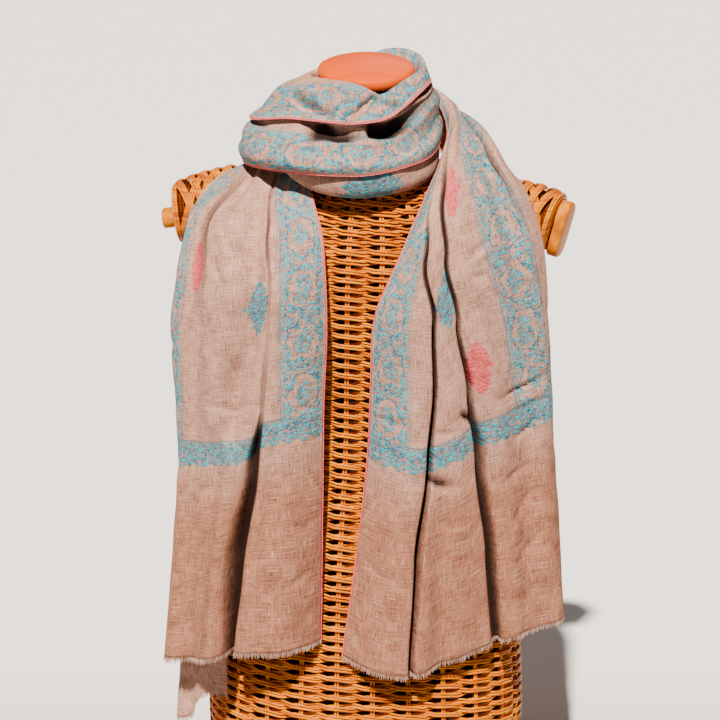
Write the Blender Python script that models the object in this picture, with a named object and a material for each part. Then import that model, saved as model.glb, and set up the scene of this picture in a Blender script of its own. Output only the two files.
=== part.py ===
"""A pashmina shawl wound once round a limbless wicker dress form.

The form stands on its flat underside at z = 0 and faces -Y. Tables are in millimetres from
the form's own axis, and MODEL_SHIFT sets the whole model's box centrally over the origin.
A hanging or wound stretch of cloth is a grid between lengthwise lines, called rails here,
that run from selvedge to far edge. Creases and soft folds move it along its own normal.
"""
import math
from collections import namedtuple

import bmesh
import bpy
from mathutils import Euler, Matrix, Vector

MM = 0.001

# ---------------------------------------------------------------- driving sizes
CLOTH_WALL = 1.4 * MM
SEAM_GAP = 0.5 * MM
FRINGE_STRIP = 2.0 * MM
FRINGE_LENGTH = 6.0 * MM
FRINGE_PITCH = 7.0 * MM
FRINGE_TAPER = 0.5

TORSO_SIDES = 28
YOKE_SIDES = 16
CAP_SIDES = 32
CAP_RADIUS = 50.0 * MM
CAP_RIM = 12.0 * MM
CAP_DOME = 7.0 * MM
CAP_TILT = math.radians(10.0)
CAP_GAP = 0.5 * MM
PLATE_GAP = 0.3 * MM
MODEL_SHIFT = Vector((-3.3, 17.5, 0.0)) * MM

# ---------------------------------------------------------------- the dress form
Ring = namedtuple("Ring", "z half_width front back square tilt")
TORSO = [
    Ring(0, 164, 110, 105, 2.4, 0.00),
    Ring(80, 168, 113, 109, 2.4, 0.00),
    Ring(190, 162, 109, 104, 2.4, 0.00),
    Ring(290, 147, 100, 93, 2.3, 0.00),
    Ring(385, 134, 91, 82, 2.3, 0.00),
    Ring(470, 140, 96, 85, 2.3, 0.00),
    Ring(545, 153, 103, 91, 2.3, 0.00),
    Ring(595, 157, 96, 92, 2.3, 0.00),
    Ring(632, 146, 79, 85, 2.2, 0.00),
    Ring(660, 104, 65, 73, 2.1, 0.00),
    Ring(681, 67, 55, 61, 2.0, 0.02),
    Ring(700, 53, 49, 53, 2.0, 0.05),
    Ring(728, 48, 46, 48, 2.0, 0.11),
    Ring(763, 46, 45, 46, 2.0, 0.176),
]

# A section's top leans out, and its back is turned out, by these shares of their distance.
Stub = namedtuple("Stub", "x z half_height half_depth lean turn")
YOKE = [
    Stub(-199, 620, 26, 30, 0.15, 0.00),
    Stub(-191, 623, 30, 34, 0.12, 0.00),
    Stub(-172, 627, 34, 40, 0.05, 0.00),
    Stub(-140, 627, 42, 50, 0.00, 0.00),
    Stub(-90, 614, 46, 62, 0.00, 0.00),
    Stub(0, 600, 56, 72, 0.00, 0.00),
    Stub(90, 618, 46, 62, 0.00, 0.00),
    Stub(150, 622, 34, 46, 0.00, 0.00),
    Stub(180, 618, 30, 38, 0.12, 0.18),
    Stub(199, 612, 27, 31, 0.27, 0.40),
]

Plate = namedtuple("Plate", "name side slide size")
PLATES = [
    Plate("form_shoulder_plate_left", -1, -2, (13, 30, 19)),
    Plate("form_shoulder_plate_right", 1, -5, (12, 34, 60)),
]

# ---------------------------------------------------------------- the wound stretches
# Angles go round the neck from the front (0) by the viewer's left (90) to the nape (180).
# Each pair is (distance from the neck's axis, height), from the upper to the lower edge.
Wound = namedtuple("Wound", "angle top shelf waist swell belly edge")
FRONT_WRAP = [
    Wound(-118, (65, 750), (66, 741), (67, 731), (67, 720), (67, 710), (66, 700)),
    Wound(-90, (66, 761), (70, 757), (73, 747), (75, 734), (77, 721), (77, 709)),
    Wound(-72, (65, 755), (71, 757), (74, 747), (77, 732), (80, 716), (80, 703)),
    Wound(-58, (64, 750), (73, 752), (73, 741), (76, 725), (82, 709), (84, 697)),
    Wound(-45, (62, 750), (72, 745), (71, 734), (77, 718), (88, 705), (90, 692)),
    Wound(-22, (62, 743), (72, 733), (71, 722), (80, 712), (95, 699), (98, 686)),
    Wound(0, (64, 753), (79, 736), (75, 723), (92, 712), (106, 697), (106, 681)),
    Wound(45, (66, 756), (98, 733), (106, 722), (121, 709), (127, 696), (121, 682)),
    Wound(90, (66, 757), (92, 741), (112, 724), (128, 710), (132, 694), (127, 678)),
    Wound(135, (66, 764), (84, 750), (104, 734), (120, 714), (127, 694), (121, 677)),
]
Turned = namedtuple("Turned", "angle inner lip rim slope edge")
TURNED_EDGE = [
    Turned(-106, (53, 758), (54, 769), (56, 773), (57, 770), (58, 762)),
    Turned(-96, (54, 757), (55, 770), (57, 775), (59, 772), (60, 763)),
    Turned(-84, (54, 755), (56, 769), (60, 776), (63, 773), (66, 764)),
    Turned(-68, (53, 752), (56, 769), (61, 776), (65, 772), (70, 762)),
    Turned(-49, (53, 747), (54, 764), (58, 770), (65, 765), (71, 754)),
    Turned(-30, (53, 742), (54, 756), (57, 761), (65, 754), (74, 742)),
    Turned(-14, (53, 738), (54, 749), (58, 755), (70, 746), (81, 733)),
    Turned(8, (53, 742), (54, 758), (60, 765), (76, 753), (90, 730)),
    Turned(45, (53, 746), (54, 762), (60, 768), (84, 755), (106, 733)),
    Turned(90, (54, 748), (55, 760), (61, 766), (91, 749), (120, 723)),
    Turned(135, (54, 750), (55, 763), (61, 769), (82, 758), (104, 737)),
    Turned(180, (54, 756), (55, 770), (61, 777), (77, 769), (94, 752)),
    Turned(205, (56, 762), (58, 779), (65, 786), (77, 780), (90, 763)),
    Turned(222, (59, 758), (61, 775), (68, 783), (75, 779), (84, 765)),
    Turned(234, (60, 756), (62, 772), (67, 780), (73, 775), (80, 764)),
    Turned(247, (61, 754), (63, 767), (65.5, 774), (67.5, 772), (69.5, 767)),
    Turned(260, (62, 752), (63, 763), (64.2, 767.5), (65.4, 767), (66.4, 764)),
]
Cowl = namedtuple("Cowl", "angle inner hem belly rise")
COWL = [
    Cowl(-96, (61, 712), (66, 699), (70, 704), (70, 717)),
    Cowl(-75, (64, 704), (74, 686), (78, 693), (72, 714)),
    Cowl(-45, (70, 689), (84, 666), (90, 676), (83, 701)),
    Cowl(0, (80, 679), (93, 655), (101, 667), (97, 691)),
    Cowl(30, (88, 682), (101, 661), (108, 671), (105, 692)),
    Cowl(56, (92, 696), (104, 682), (111, 688), (110, 701)),
]

# ---------------------------------------------------------------- the hanging stretches
# Each row is a line across the cloth: six points from the selvedge at the neck side,
# across the front, round the outer fold, to the edge that is turned in behind it.
Level = namedtuple("Level", "name selvedge inner middle outer fold turned")
RIGHT_END = [
    Level("nape", (0, 65, 771), (0, 79, 763), (0, 94, 743), (0, 105, 716), (0, 107, 694), (0, 98, 678)),
    Level("behind", (56, 56, 752), (65, 66, 745), (79, 78, 728), (92, 86, 704), (100, 87, 682), (102, 76, 668)),
    Level("crest", (83, 13, 714), (90, 19, 726), (103, 24, 719), (121, 20, 702), (138, 12, 682), (144, 22, 668)),
    Level("neck", (76, -56, 690), (84, -62, 702), (101, -54, 703), (126, -38, 691), (146, -25, 676), (147, -6, 665)),
    Level("collarbone", (56, -94, 654), (72, -110, 662), (98, -106, 664), (134, -82, 660), (166, -52, 650),
          (154, -38, 660)),
    Level("chest", (33, -118, 604), (60, -134, 604), (100, -131, 603), (146, -106, 601), (182, -70, 599),
          (166, -56, 600)),
    Level("bust", (7, -128, 540), (48, -140, 538), (96, -136, 537), (143, -114, 536), (186, -78, 535),
          (162, -54, 536)),
    Level("ribs", (3, -123, 465), (45, -138, 465), (95, -135, 464), (146, -113, 464), (190, -78, 463),
          (162, -48, 464)),
    Level("waist", (-1, -116, 388), (45, -139, 386), (97, -128, 385), (150, -108, 386), (195, -78, 388),
          (164, -46, 388)),
    Level("low", (-12, -117, 284), (43, -143, 282), (98, -122, 280), (153, -106, 286), (203, -76, 290),
          (170, -44, 292)),
    Level("hem", (-27, -119, 173), (42, -145, 162), (104, -112, 174), (159, -102, 193), (207, -73, 205),
          (174, -42, 208)),
]
LEFT_END = [
    Level("tuck", (-50, 24, 726), (-60, 26, 712), (-76, 26, 701), (-93, 24, 689), (-107, 19, 679), (-119, 14, 675)),
    Level("crest", (-56, -16, 718), (-68, -14, 707), (-84, -12, 695), (-106, -12, 684), (-130, -17, 675),
          (-147, -24, 668)),
    Level("shoulder", (-56, -70, 664), (-74, -69, 664), (-94, -64, 662), (-118, -57, 660), (-148, -46, 659),
          (-164, -38, 656)),
    Level("collarbone", (-44, -110, 622), (-76, -114, 624), (-110, -106, 626), (-146, -87, 630), (-180, -60, 634),
          (-176, -50, 636)),
    Level("chest", (-40, -125, 574), (-78, -135, 574), (-116, -131, 574), (-156, -112, 575), (-191, -86, 576),
          (-184, -76, 576)),
    Level("bust", (-39, -128, 520), (-78, -138, 520), (-118, -134, 520), (-161, -116, 520), (-198, -90, 520),
          (-190, -80, 520)),
    Level("ribs", (-42, -124, 450), (-80, -137, 450), (-120, -133, 450), (-160, -115, 449), (-195, -90, 448),
          (-187, -80, 448)),
    Level("waist", (-43, -121, 380), (-84, -137, 380), (-123, -134, 380), (-162, -116, 378), (-194, -90, 376),
          (-186, -80, 376)),
    Level("low", (-44, -118, 284), (-88, -140, 282), (-132, -136, 280), (-170, -118, 275), (-202, -92, 270),
          (-195, -81, 270)),
    Level("hem", (-45, -117, 191), (-90, -140, 188), (-140, -137, 184), (-178, -120, 171), (-212, -93, 163),
          (-204, -82, 164)),
]
LEFT_UNDER_LAYER = [
    Level("tuck", (-144, -72, 616), (-150, -70, 616), (-156, -65, 616), (-161, -60, 616), (-165, -54, 616),
          (-162, -51, 616)),
    Level("chest", (-146, -88, 560), (-155, -86, 560), (-164, -79, 560), (-171, -71, 560), (-178, -63, 560),
          (-172, -53, 560)),
    Level("ribs", (-146, -94, 450), (-156, -92, 450), (-165, -86, 450), (-174, -78, 450), (-181, -66, 450),
          (-176, -54, 450)),
    Level("waist", (-146, -95, 340), (-158, -94, 340), (-168, -86, 340), (-178, -76, 340), (-186, -64, 340),
          (-180, -52, 340)),
    Level("low", (-147, -93, 240), (-160, -92, 240), (-172, -82, 240), (-182, -72, 238), (-191, -62, 236),
          (-184, -48, 236)),
    Level("shin", (-147, -90, 170), (-161, -89, 170), (-174, -77, 167), (-186, -68, 160), (-197, -60, 156),
          (-190, -46, 156)),
    Level("hem", (-147, -88, 119), (-162, -88, 121), (-177, -74, 112), (-188, -66, 86), (-203, -60, 83),
          (-196, -44, 86)),
]

# A crease is a narrow slot and a ripple a soft fold. Places go from 0 at the selvedge to 1
# at the turned edge, and heights are along the stated normal, at each of the named levels.
Crease = namedtuple("Crease", "name half_width levels places depths")
RIGHT_LEVELS = ("nape", "crest", "collarbone", "chest", "bust", "waist", "low", "hem")
RIGHT_CREASES = [
    Crease("beside the edge band", 3.4, RIGHT_LEVELS,
           (0.10, 0.10, 0.11, 0.19, 0.285, 0.28, 0.24, 0.217), (0, 0, 5, 11, 14, 18, 20, 20)),
    Crease("beside the medallions", 3.8, RIGHT_LEVELS,
           (0.30, 0.30, 0.235, 0.305, 0.385, 0.475, 0.515, 0.517), (0, 0, 8, 10, 13, 18, 15, 13)),
]
RIGHT_RIPPLES = [
    Crease("outer fold", 13.0, RIGHT_LEVELS,
           (0.60, 0.55, 0.68, 0.68, 0.72, 0.72, 0.72, 0.74), (-5, -5, -4, -3, -3, -4, -6, -8)),
    Crease("fold behind the slot", 9.0, RIGHT_LEVELS,
           (0.48, 0.45, 0.56, 0.60, 0.64, 0.64, 0.63, 0.62), (4, 6, 5, 3, 2, 2, 2, 2)),
    Crease("hollow beside the proud fold", 15.0, RIGHT_LEVELS,
           (0.30, 0.30, 0.30, 0.30, 0.34, 0.35, 0.33, 0.32), (0, 0, 0, 2, 3, 5, 7, 8)),
]
LEFT_LEVELS = ("tuck", "shoulder", "collarbone", "chest", "bust", "ribs", "waist", "low", "hem")
LEFT_CREASES = [
    Crease("opening above the hem", 4.6, LEFT_LEVELS,
           (0.40, 0.36, 0.36, 0.36, 0.37, 0.37, 0.36, 0.40, 0.40), (0, 0, 0, 0, 0, 1, 10, 22, 26)),
]
LEFT_RIPPLES = [
    Crease("long soft trough", 12.0, LEFT_LEVELS,
           (0.40, 0.40, 0.40, 0.42, 0.42, 0.42, 0.50, 0.55, 0.55), (0, 3, 4, 5, 8, 9, 3, 2, 2)),
    Crease("outer trough", 10.0, LEFT_LEVELS,
           (0.66, 0.66, 0.66, 0.68, 0.68, 0.68, 0.68, 0.66, 0.64), (2, 3, 5, 6, 5, 4, 4, 5, 6)),
]

# ---------------------------------------------------------------- finishes
Finish = namedtuple("Finish", "colour roughness")
FINISHES = {
    "wool": Finish((0.56, 0.38, 0.30), 0.9),
    "cane": Finish((0.62, 0.27, 0.06), 0.45),
    "cap": Finish((0.78, 0.25, 0.05), 0.3),
    "plate": Finish((0.60, 0.24, 0.06), 0.5),
}


def clear_scene():
    """Remove whatever the file opened with."""
    for thing in list(bpy.data.objects):
        bpy.data.objects.remove(thing, do_unlink=True)


def make_material(name, finish):
    """Make a plain Principled material."""
    material = bpy.data.materials.new(name)
    material.use_nodes = True
    shader = material.node_tree.nodes["Principled BSDF"]
    shader.inputs["Base Color"].default_value = (*finish.colour, 1.0)
    shader.inputs["Roughness"].default_value = finish.roughness
    return material


def make_stand():
    """Add the empty that carries every piece, moved to set the model over the origin."""
    stand = bpy.data.objects.new("model_stand", None)
    stand.location = MODEL_SHIFT
    bpy.context.scene.collection.objects.link(stand)


def make_object(name, mesh_data, finish_name):
    """Put a bmesh on the stand as a smooth-shaded object with a material of its own."""
    mesh = bpy.data.meshes.new(name)
    mesh_data.to_mesh(mesh)
    mesh_data.free()
    mesh.shade_smooth()
    mesh.materials.append(make_material(name + "_finish", FINISHES[finish_name]))
    thing = bpy.data.objects.new(name, mesh)
    bpy.context.scene.collection.objects.link(thing)
    thing.parent = bpy.data.objects["model_stand"]
    return thing


# ---------------------------------------------------------------- curves and surfaces
def smooth_between(points, place):
    """Read a smooth curve through the points; a place of 1.5 is between points 1 and 2."""
    last = len(points) - 1
    first = max(0, min(int(place), last - 1))
    t = place - first
    start, end = points[first], points[first + 1]
    before = points[first - 1] if first > 0 else 2 * start - end
    after = points[first + 2] if first + 2 <= last else 2 * end - start
    return 0.5 * (2 * start + (end - before) * t
                  + (2 * before - 5 * start + 4 * end - after) * t * t
                  + (3 * start - before - 3 * end + after) * t * t * t)


def round_the_neck(angle, reach, height):
    """Turn an angle, a distance from the neck's axis and a height into a point."""
    turn = math.radians(angle)
    return Vector((-math.sin(turn) * reach, -math.cos(turn) * reach, height)) * MM


def wound_rails(rows, step):
    """Read a table of wound sections every few degrees and return lines of points."""
    lines = []
    angles = [row.angle for row in rows]
    count = round((angles[-1] - angles[0]) / step)
    for index in range(count + 1):
        angle = angles[0] + (angles[-1] - angles[0]) * index / count
        after = next(i for i in range(1, len(rows)) if angles[i] >= angle - 1e-6)
        place = after - 1 + (angle - angles[after - 1]) / (angles[after] - angles[after - 1])
        line = []
        for column in range(1, len(rows[0])):
            reach = smooth_between([row[column][0] for row in rows], place)
            height = smooth_between([row[column][1] for row in rows], place)
            line.append(round_the_neck(angle, reach, height))
        lines.append(line)
    return lines


def hanging_rails(rows):
    """Turn a table of levels into lines of points."""
    return [[Vector(point) * MM for point in row[1:]] for row in rows]


class Stretch:
    """A stretch of cloth between rails, with its creases and soft folds."""

    def __init__(self, lines, creases=(), ripples=(), level_names=(), first_level=0, inward=1):
        self.lines = lines
        self.inward = inward
        self.creases = creases
        self.ripples = ripples
        self.level_at = {name: first_level + index for index, name in enumerate(level_names)}

    def base(self, along, across):
        """Point on the smooth surface before any fold."""
        rails = len(self.lines[0])
        line = [smooth_between([row[rail] for row in self.lines], along) for rail in range(rails)]
        return smooth_between(line, across * (rails - 1))

    def reading(self, crease, values, along):
        """Read a crease's place or depth at a line, between the levels that state it."""
        marks = [self.level_at[name] for name in crease.levels]
        if along <= marks[0]:
            return values[0]
        for index in range(1, len(marks)):
            if along <= marks[index]:
                part = (along - marks[index - 1]) / (marks[index] - marks[index - 1])
                part = part * part * (3 - 2 * part)
                return values[index - 1] + (values[index] - values[index - 1]) * part
        return values[-1]

    def spread(self, along, across):
        """Length across the cloth, in metres, for one unit of place."""
        step = 0.01
        return (self.base(along, across + step) - self.base(along, across - step)).length / (2 * step)

    def columns(self, along, spans):
        """Places across the cloth: even ones, and six that follow each crease."""
        anchors = [0.0]
        for crease in self.creases:
            place = self.reading(crease, crease.places, along)
            reach = crease.half_width * MM / self.spread(along, place)
            anchors.extend(place + reach * offset for offset in (-1.6, -0.85, -0.4, 0.4, 0.85, 1.6))
        anchors.append(1.0)
        places = []
        for index, count in enumerate(spans):
            start = anchors[index * 6]
            end = anchors[index * 6 + 1]
            places.extend(start + (end - start) * step / count for step in range(count))
            if index < len(spans) - 1:
                places.extend(anchors[index * 6 + 1:index * 6 + 6])
        places.append(1.0)
        return places

    def point(self, along, across):
        """Point on the finished surface."""
        step = 0.01
        last = len(self.lines) - 1
        here = self.base(along, across)
        down = self.base(min(along + step, last), across) - self.base(max(along - step, 0), across)
        over = self.base(along, min(across + step, 1)) - self.base(along, max(across - step, 0))
        normal = over.cross(down).normalized() * self.inward
        push = 0.0
        for crease in self.creases:
            away = (across - self.reading(crease, crease.places, along)) * self.spread(along, across)
            push += self.reading(crease, crease.depths, along) * math.exp(-(away / (crease.half_width * MM)) ** 4)
        for ripple in self.ripples:
            away = (across - self.reading(ripple, ripple.places, along)) * self.spread(along, across)
            push += self.reading(ripple, ripple.depths, along) * math.exp(-(away / (ripple.half_width * MM)) ** 2)
        return here + normal * push * MM


def cloth_wall(name, stretch, alongs, spans):
    """Build one stretch as a thin closed wall."""
    columns = [stretch.columns(along, spans) for along in alongs]
    across_count = len(columns[0]) - 1
    along_count = len(alongs) - 1
    grid = bmesh.new()
    bmesh.ops.create_grid(grid, x_segments=across_count, y_segments=along_count, size=1.0)
    for vert in grid.verts:
        column = round((vert.co.x + 1) / 2 * across_count)
        row = round((vert.co.y + 1) / 2 * along_count)
        vert.co = stretch.point(alongs[row], columns[row][column])
    bmesh.ops.recalc_face_normals(grid, faces=grid.faces)
    wall = make_object(name, grid, "wool")
    solidify = wall.modifiers.new("wall", "SOLIDIFY")
    solidify.thickness = CLOTH_WALL
    solidify.offset = 0.0
    solidify.use_even_offset = False
    return wall


def hem_marks(stretch, hem, spans):
    """Points along a hem with the way the cloth falls there, about half a pitch apart."""
    corners = []
    for place in stretch.columns(hem, spans):
        point = stretch.point(hem, place)
        corners.append((point, point - stretch.point(hem - 0.1, place)))
    marks = []
    for (start, start_fall), (end, end_fall) in zip(corners, corners[1:]):
        count = max(1, round((end - start).length / (FRINGE_PITCH / 2)))
        tangent = end - start
        for step in range(count):
            fall = start_fall.lerp(end_fall, step / count)
            marks.append((start.lerp(end, step / count), (fall - fall.project(tangent)).normalized()))
    marks.append((corners[-1][0], marks[-1][1]))
    return marks


def fringe(name, stretch, hem, spans):
    """Hang a comb of strands under a hem: a narrow strip with every second edge drawn down."""
    marks = hem_marks(stretch, hem, spans)
    count = len(marks) - 1
    comb = bmesh.new()
    bmesh.ops.create_grid(comb, x_segments=count, y_segments=1, size=1.0)
    hem_edges = [edge for edge in comb.edges if max(vert.co.y for vert in edge.verts) < 0]
    hem_edges.sort(key=lambda edge: edge.verts[0].co.x + edge.verts[1].co.x)
    fall_of = {}
    for vert in comb.verts:
        point, fall_of[vert] = marks[round((vert.co.x + 1) / 2 * count)]
        vert.co = point + fall_of[vert] * (SEAM_GAP + (FRINGE_STRIP if vert.co.y < 0 else 0.0))
    drawn = bmesh.ops.extrude_edge_only(comb, edges=hem_edges[::2])["geom"]
    tips = {item for item in drawn if isinstance(item, bmesh.types.BMVert)}
    for edge in [item for item in drawn if isinstance(item, bmesh.types.BMEdge)]:
        if tips.issuperset(edge.verts):
            middle = (edge.verts[0].co + edge.verts[1].co) / 2
            roots = [next(side.other_vert(vert) for side in vert.link_edges if side.other_vert(vert) in fall_of)
                     for vert in edge.verts]
            hang = (fall_of[roots[0]] + fall_of[roots[1]]).normalized()
            for vert in edge.verts:
                vert.co = middle + (vert.co - middle) * FRINGE_TAPER + hang * FRINGE_LENGTH
    bmesh.ops.recalc_face_normals(comb, faces=comb.faces)
    strip = make_object(name, comb, "wool")
    solidify = strip.modifiers.new("wall", "SOLIDIFY")
    solidify.thickness = CLOTH_WALL
    solidify.offset = 0.0
    return strip


# ---------------------------------------------------------------- the dress form's solids
def ring_point(ring, turn):
    """Point on a torso ring: a rounded oval, fuller in front than behind."""
    side = math.cos(turn)
    depth = math.sin(turn)
    power = 2.0 / ring.square
    x = math.copysign(abs(side) ** power, side) * ring.half_width
    reach = ring.back if depth > 0 else ring.front
    y = math.copysign(abs(depth) ** power, depth) * reach
    return Vector((x, y, ring.z + ring.tilt * y)) * MM


def loft(outlines):
    """Skin a pile of closed outlines with the same count of points, and cap both ends."""
    skin = bmesh.new()
    circle = bmesh.ops.create_circle(skin, cap_ends=True, radius=1.0, segments=len(outlines[0]))["verts"]
    index_of = {vert: index for index, vert in enumerate(circle)}
    for vert, index in index_of.items():
        vert.co = outlines[0][index]
    rim = skin.edges[:]
    for outline in outlines[1:]:
        grown = bmesh.ops.extrude_edge_only(skin, edges=rim)["geom"]
        verts = {item for item in grown if isinstance(item, bmesh.types.BMVert)}
        rim = [item for item in grown if isinstance(item, bmesh.types.BMEdge) and verts.issuperset(item.verts)]
        risen = {}
        for vert in verts:
            below = next(edge.other_vert(vert) for edge in vert.link_edges if edge.other_vert(vert) in index_of)
            risen[vert] = index_of[below]
            vert.co = outline[index_of[below]]
        index_of = risen
    bmesh.ops.edgeloop_fill(skin, edges=rim)
    bmesh.ops.recalc_face_normals(skin, faces=skin.faces)
    return skin


def build_torso():
    """Woven torso with shoulder stubs, as one closed solid."""
    turns = [2 * math.pi * index / TORSO_SIDES for index in range(TORSO_SIDES)]
    torso = make_object("form_torso", loft([[ring_point(ring, turn) for turn in turns] for ring in TORSO]), "cane")
    outlines = []
    for stub in YOKE:
        outline = []
        for index in range(YOKE_SIDES):
            turn = 2 * math.pi * (index + 0.5) / YOKE_SIDES
            y = math.cos(turn) * stub.half_depth
            rise = math.sin(turn) * stub.half_height
            out = math.copysign(1.0, stub.x) * (stub.lean * rise + stub.turn * y)
            outline.append(Vector((stub.x + out, y, stub.z + rise)) * MM)
        outlines.append(outline)
    yoke = make_object("yoke_guide", loft(outlines), "cane")
    yoke.hide_render = True
    yoke.display_type = "WIRE"
    joined = torso.modifiers.new("shoulders", "BOOLEAN")
    joined.operation = "UNION"
    joined.object = yoke


def build_cap():
    """Turned neck cap, leaning forward with the top of the neck."""
    profile = [
        (CAP_RADIUS - 3 * MM, 0.0),
        (CAP_RADIUS, 3 * MM),
        (CAP_RADIUS, CAP_RIM - 3 * MM),
        (CAP_RADIUS - 2.5 * MM, CAP_RIM),
        (CAP_RADIUS * 0.72, CAP_RIM + CAP_DOME * 0.55),
        (CAP_RADIUS * 0.38, CAP_RIM + CAP_DOME * 0.9),
        (CAP_RADIUS * 0.08, CAP_RIM + CAP_DOME),
    ]
    outlines = []
    for reach, height in profile:
        outlines.append([Vector((math.cos(2 * math.pi * i / CAP_SIDES) * reach,
                                 math.sin(2 * math.pi * i / CAP_SIDES) * reach, height)) for i in range(CAP_SIDES)])
    cap = make_object("form_neck_cap", loft(outlines), "cap")
    cap.location = Vector((0.0, 0.0, TORSO[-1].z * MM + CAP_GAP))
    cap.rotation_euler = Euler((CAP_TILT, 0, 0))


def build_plates():
    """Wooden plates against the shoulder ends: a small one, and a long upright one."""
    for plate in PLATES:
        stub = YOKE[0] if plate.side < 0 else YOKE[-1]
        size = Vector(plate.size) * MM
        shape = bmesh.new()
        bmesh.ops.create_cube(shape, size=1.0)
        bmesh.ops.scale(shape, vec=size, verts=shape.verts)
        ends = [edge for edge in shape.edges if abs((edge.verts[0].co - edge.verts[1].co).x) > 1e-6]
        bmesh.ops.bevel(shape, geom=ends, offset=min(size.y, size.z) * 0.45, offset_type="OFFSET", affect="EDGES",
                        segments=4, profile=0.5, material=-1)
        face = Vector((plate.side, -stub.turn, -stub.lean)).normalized()
        up = Vector((plate.side * stub.lean, 0.0, 1.0)).normalized()
        solid = make_object(plate.name, shape, "plate")
        solid.location = (Vector((stub.x, 0.0, stub.z + plate.slide)) * MM
                          + face * (size.x / 2 + PLATE_GAP) + Vector((up.x, 0.0, 0.0)) * plate.slide * MM)
        solid.rotation_euler = Matrix((face, up.cross(face), up)).transposed().to_euler()


def spaced(start, end, count):
    """Evenly spaced places from start to end."""
    return [start + (end - start) * index / count for index in range(count + 1)]


def build_shawl():
    """All the stretches of the shawl, and their fringes."""
    step = 15
    wrap_lines = wound_rails(FRONT_WRAP, step)
    nape_lines = wrap_lines[-2:] + hanging_rails(RIGHT_END)
    wrap = Stretch(wrap_lines + hanging_rails(RIGHT_END)[:1])
    cut = len(wrap_lines) - 1
    seam = 0.015
    cloth_wall("shawl_front_wrap", wrap, spaced(0, cut - seam, 24), [10])

    names = [row.name for row in RIGHT_END]
    right = Stretch(nape_lines, RIGHT_CREASES, RIGHT_RIPPLES, names, first_level=2)
    crest = right.level_at["crest"]
    hem = right.level_at["hem"]
    spans = [4, 3, 8]
    cloth_wall("shawl_nape_wrap", right, spaced(1 + seam, crest - seam, 8), spans)
    cloth_wall("shawl_right_end", right, spaced(crest + seam, hem, 22), spans)
    fringe("shawl_right_fringe", right, hem, spans)

    turned = Stretch(wound_rails(TURNED_EDGE, step))
    cloth_wall("shawl_turned_edge", turned, spaced(0, len(turned.lines) - 1, 28), [8])
    cowl = Stretch(wound_rails(COWL, step))
    cloth_wall("shawl_cowl", cowl, spaced(0, len(cowl.lines) - 1, 14), [7])

    left = Stretch(hanging_rails(LEFT_END), LEFT_CREASES, LEFT_RIPPLES, [row.name for row in LEFT_END], inward=-1)
    last = len(LEFT_END) - 1
    spans = [6, 8]
    cloth_wall("shawl_left_end", left, spaced(0, last, 22), spans)
    fringe("shawl_left_fringe", left, last, spans)
    under = Stretch(hanging_rails(LEFT_UNDER_LAYER))
    last = len(LEFT_UNDER_LAYER) - 1
    spans = [10]
    cloth_wall("shawl_left_under_layer", under, spaced(0, last, 12), spans)
    fringe("shawl_left_under_fringe", under, last, spans)


def main():
    """Build the form, then the shawl on it."""
    clear_scene()
    make_stand()
    build_torso()
    build_cap()
    build_plates()
    build_shawl()


main()
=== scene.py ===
"""A pashmina shawl wound once round a limbless wicker dress form, finished for a studio view.

Tables are in millimetres from the form's own axis; MODEL_SHIFT sets them over the frame's origin.
The form faces -Y. A stretch of cloth is a grid between lengthwise rails that run from one long
edge to the other. Its folds are moved along its own normal, and its UV map holds flat metres:
u across the cloth from the selvedge, v along it, from the hem where the stretch has flat lines
and from its first row where it has none.
"""
from __future__ import annotations

import logging
import math
import random
from collections import namedtuple
from dataclasses import dataclass
from enum import Enum

import bmesh
import bpy
import numpy as np
from mathutils import Matrix, Vector


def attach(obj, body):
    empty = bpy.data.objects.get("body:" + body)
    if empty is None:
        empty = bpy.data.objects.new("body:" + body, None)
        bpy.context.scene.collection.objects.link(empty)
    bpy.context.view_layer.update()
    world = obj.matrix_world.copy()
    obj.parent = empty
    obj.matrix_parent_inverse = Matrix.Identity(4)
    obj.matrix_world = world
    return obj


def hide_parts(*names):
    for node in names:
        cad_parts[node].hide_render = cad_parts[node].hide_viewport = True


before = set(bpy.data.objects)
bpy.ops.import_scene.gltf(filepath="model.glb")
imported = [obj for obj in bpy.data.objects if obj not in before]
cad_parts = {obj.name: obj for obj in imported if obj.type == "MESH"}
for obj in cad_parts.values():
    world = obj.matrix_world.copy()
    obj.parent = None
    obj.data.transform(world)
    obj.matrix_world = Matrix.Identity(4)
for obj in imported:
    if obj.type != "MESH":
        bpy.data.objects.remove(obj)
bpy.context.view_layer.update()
Socket = bpy.types.NodeSocket
Triple = tuple[float, float, float]
log = logging.getLogger("shawl")

MM = 0.001
BODY = "root"
MODEL_SHIFT = np.array((-3.3, 17.5, 0.0))


class Slot(Enum):
    """Material slots that the record names."""

    WOOL = "wool"
    FRINGE = "fringe"
    CANE = "cane"
    CAP = "cap"
    PLATE = "plate"


# ---------------------------------------------------------------- the dress form's sections
Ring = namedtuple("Ring", "z half_width front back square tilt")
TORSO = (
    Ring(0, 164, 110, 105, 2.4, 0.00),
    Ring(80, 168, 113, 109, 2.4, 0.00),
    Ring(190, 162, 109, 104, 2.4, 0.00),
    Ring(290, 147, 100, 93, 2.3, 0.00),
    Ring(385, 134, 91, 82, 2.3, 0.00),
    Ring(470, 140, 96, 85, 2.3, 0.00),
    Ring(545, 153, 103, 91, 2.3, 0.00),
    Ring(595, 157, 96, 92, 2.3, 0.00),
    Ring(632, 146, 79, 85, 2.2, 0.00),
    Ring(660, 104, 65, 73, 2.1, 0.00),
    Ring(681, 67, 55, 61, 2.0, 0.02),
    Ring(700, 53, 49, 53, 2.0, 0.05),
    Ring(728, 48, 46, 48, 2.0, 0.11),
    Ring(763, 46, 45, 46, 2.0, 0.176),
)
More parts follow.
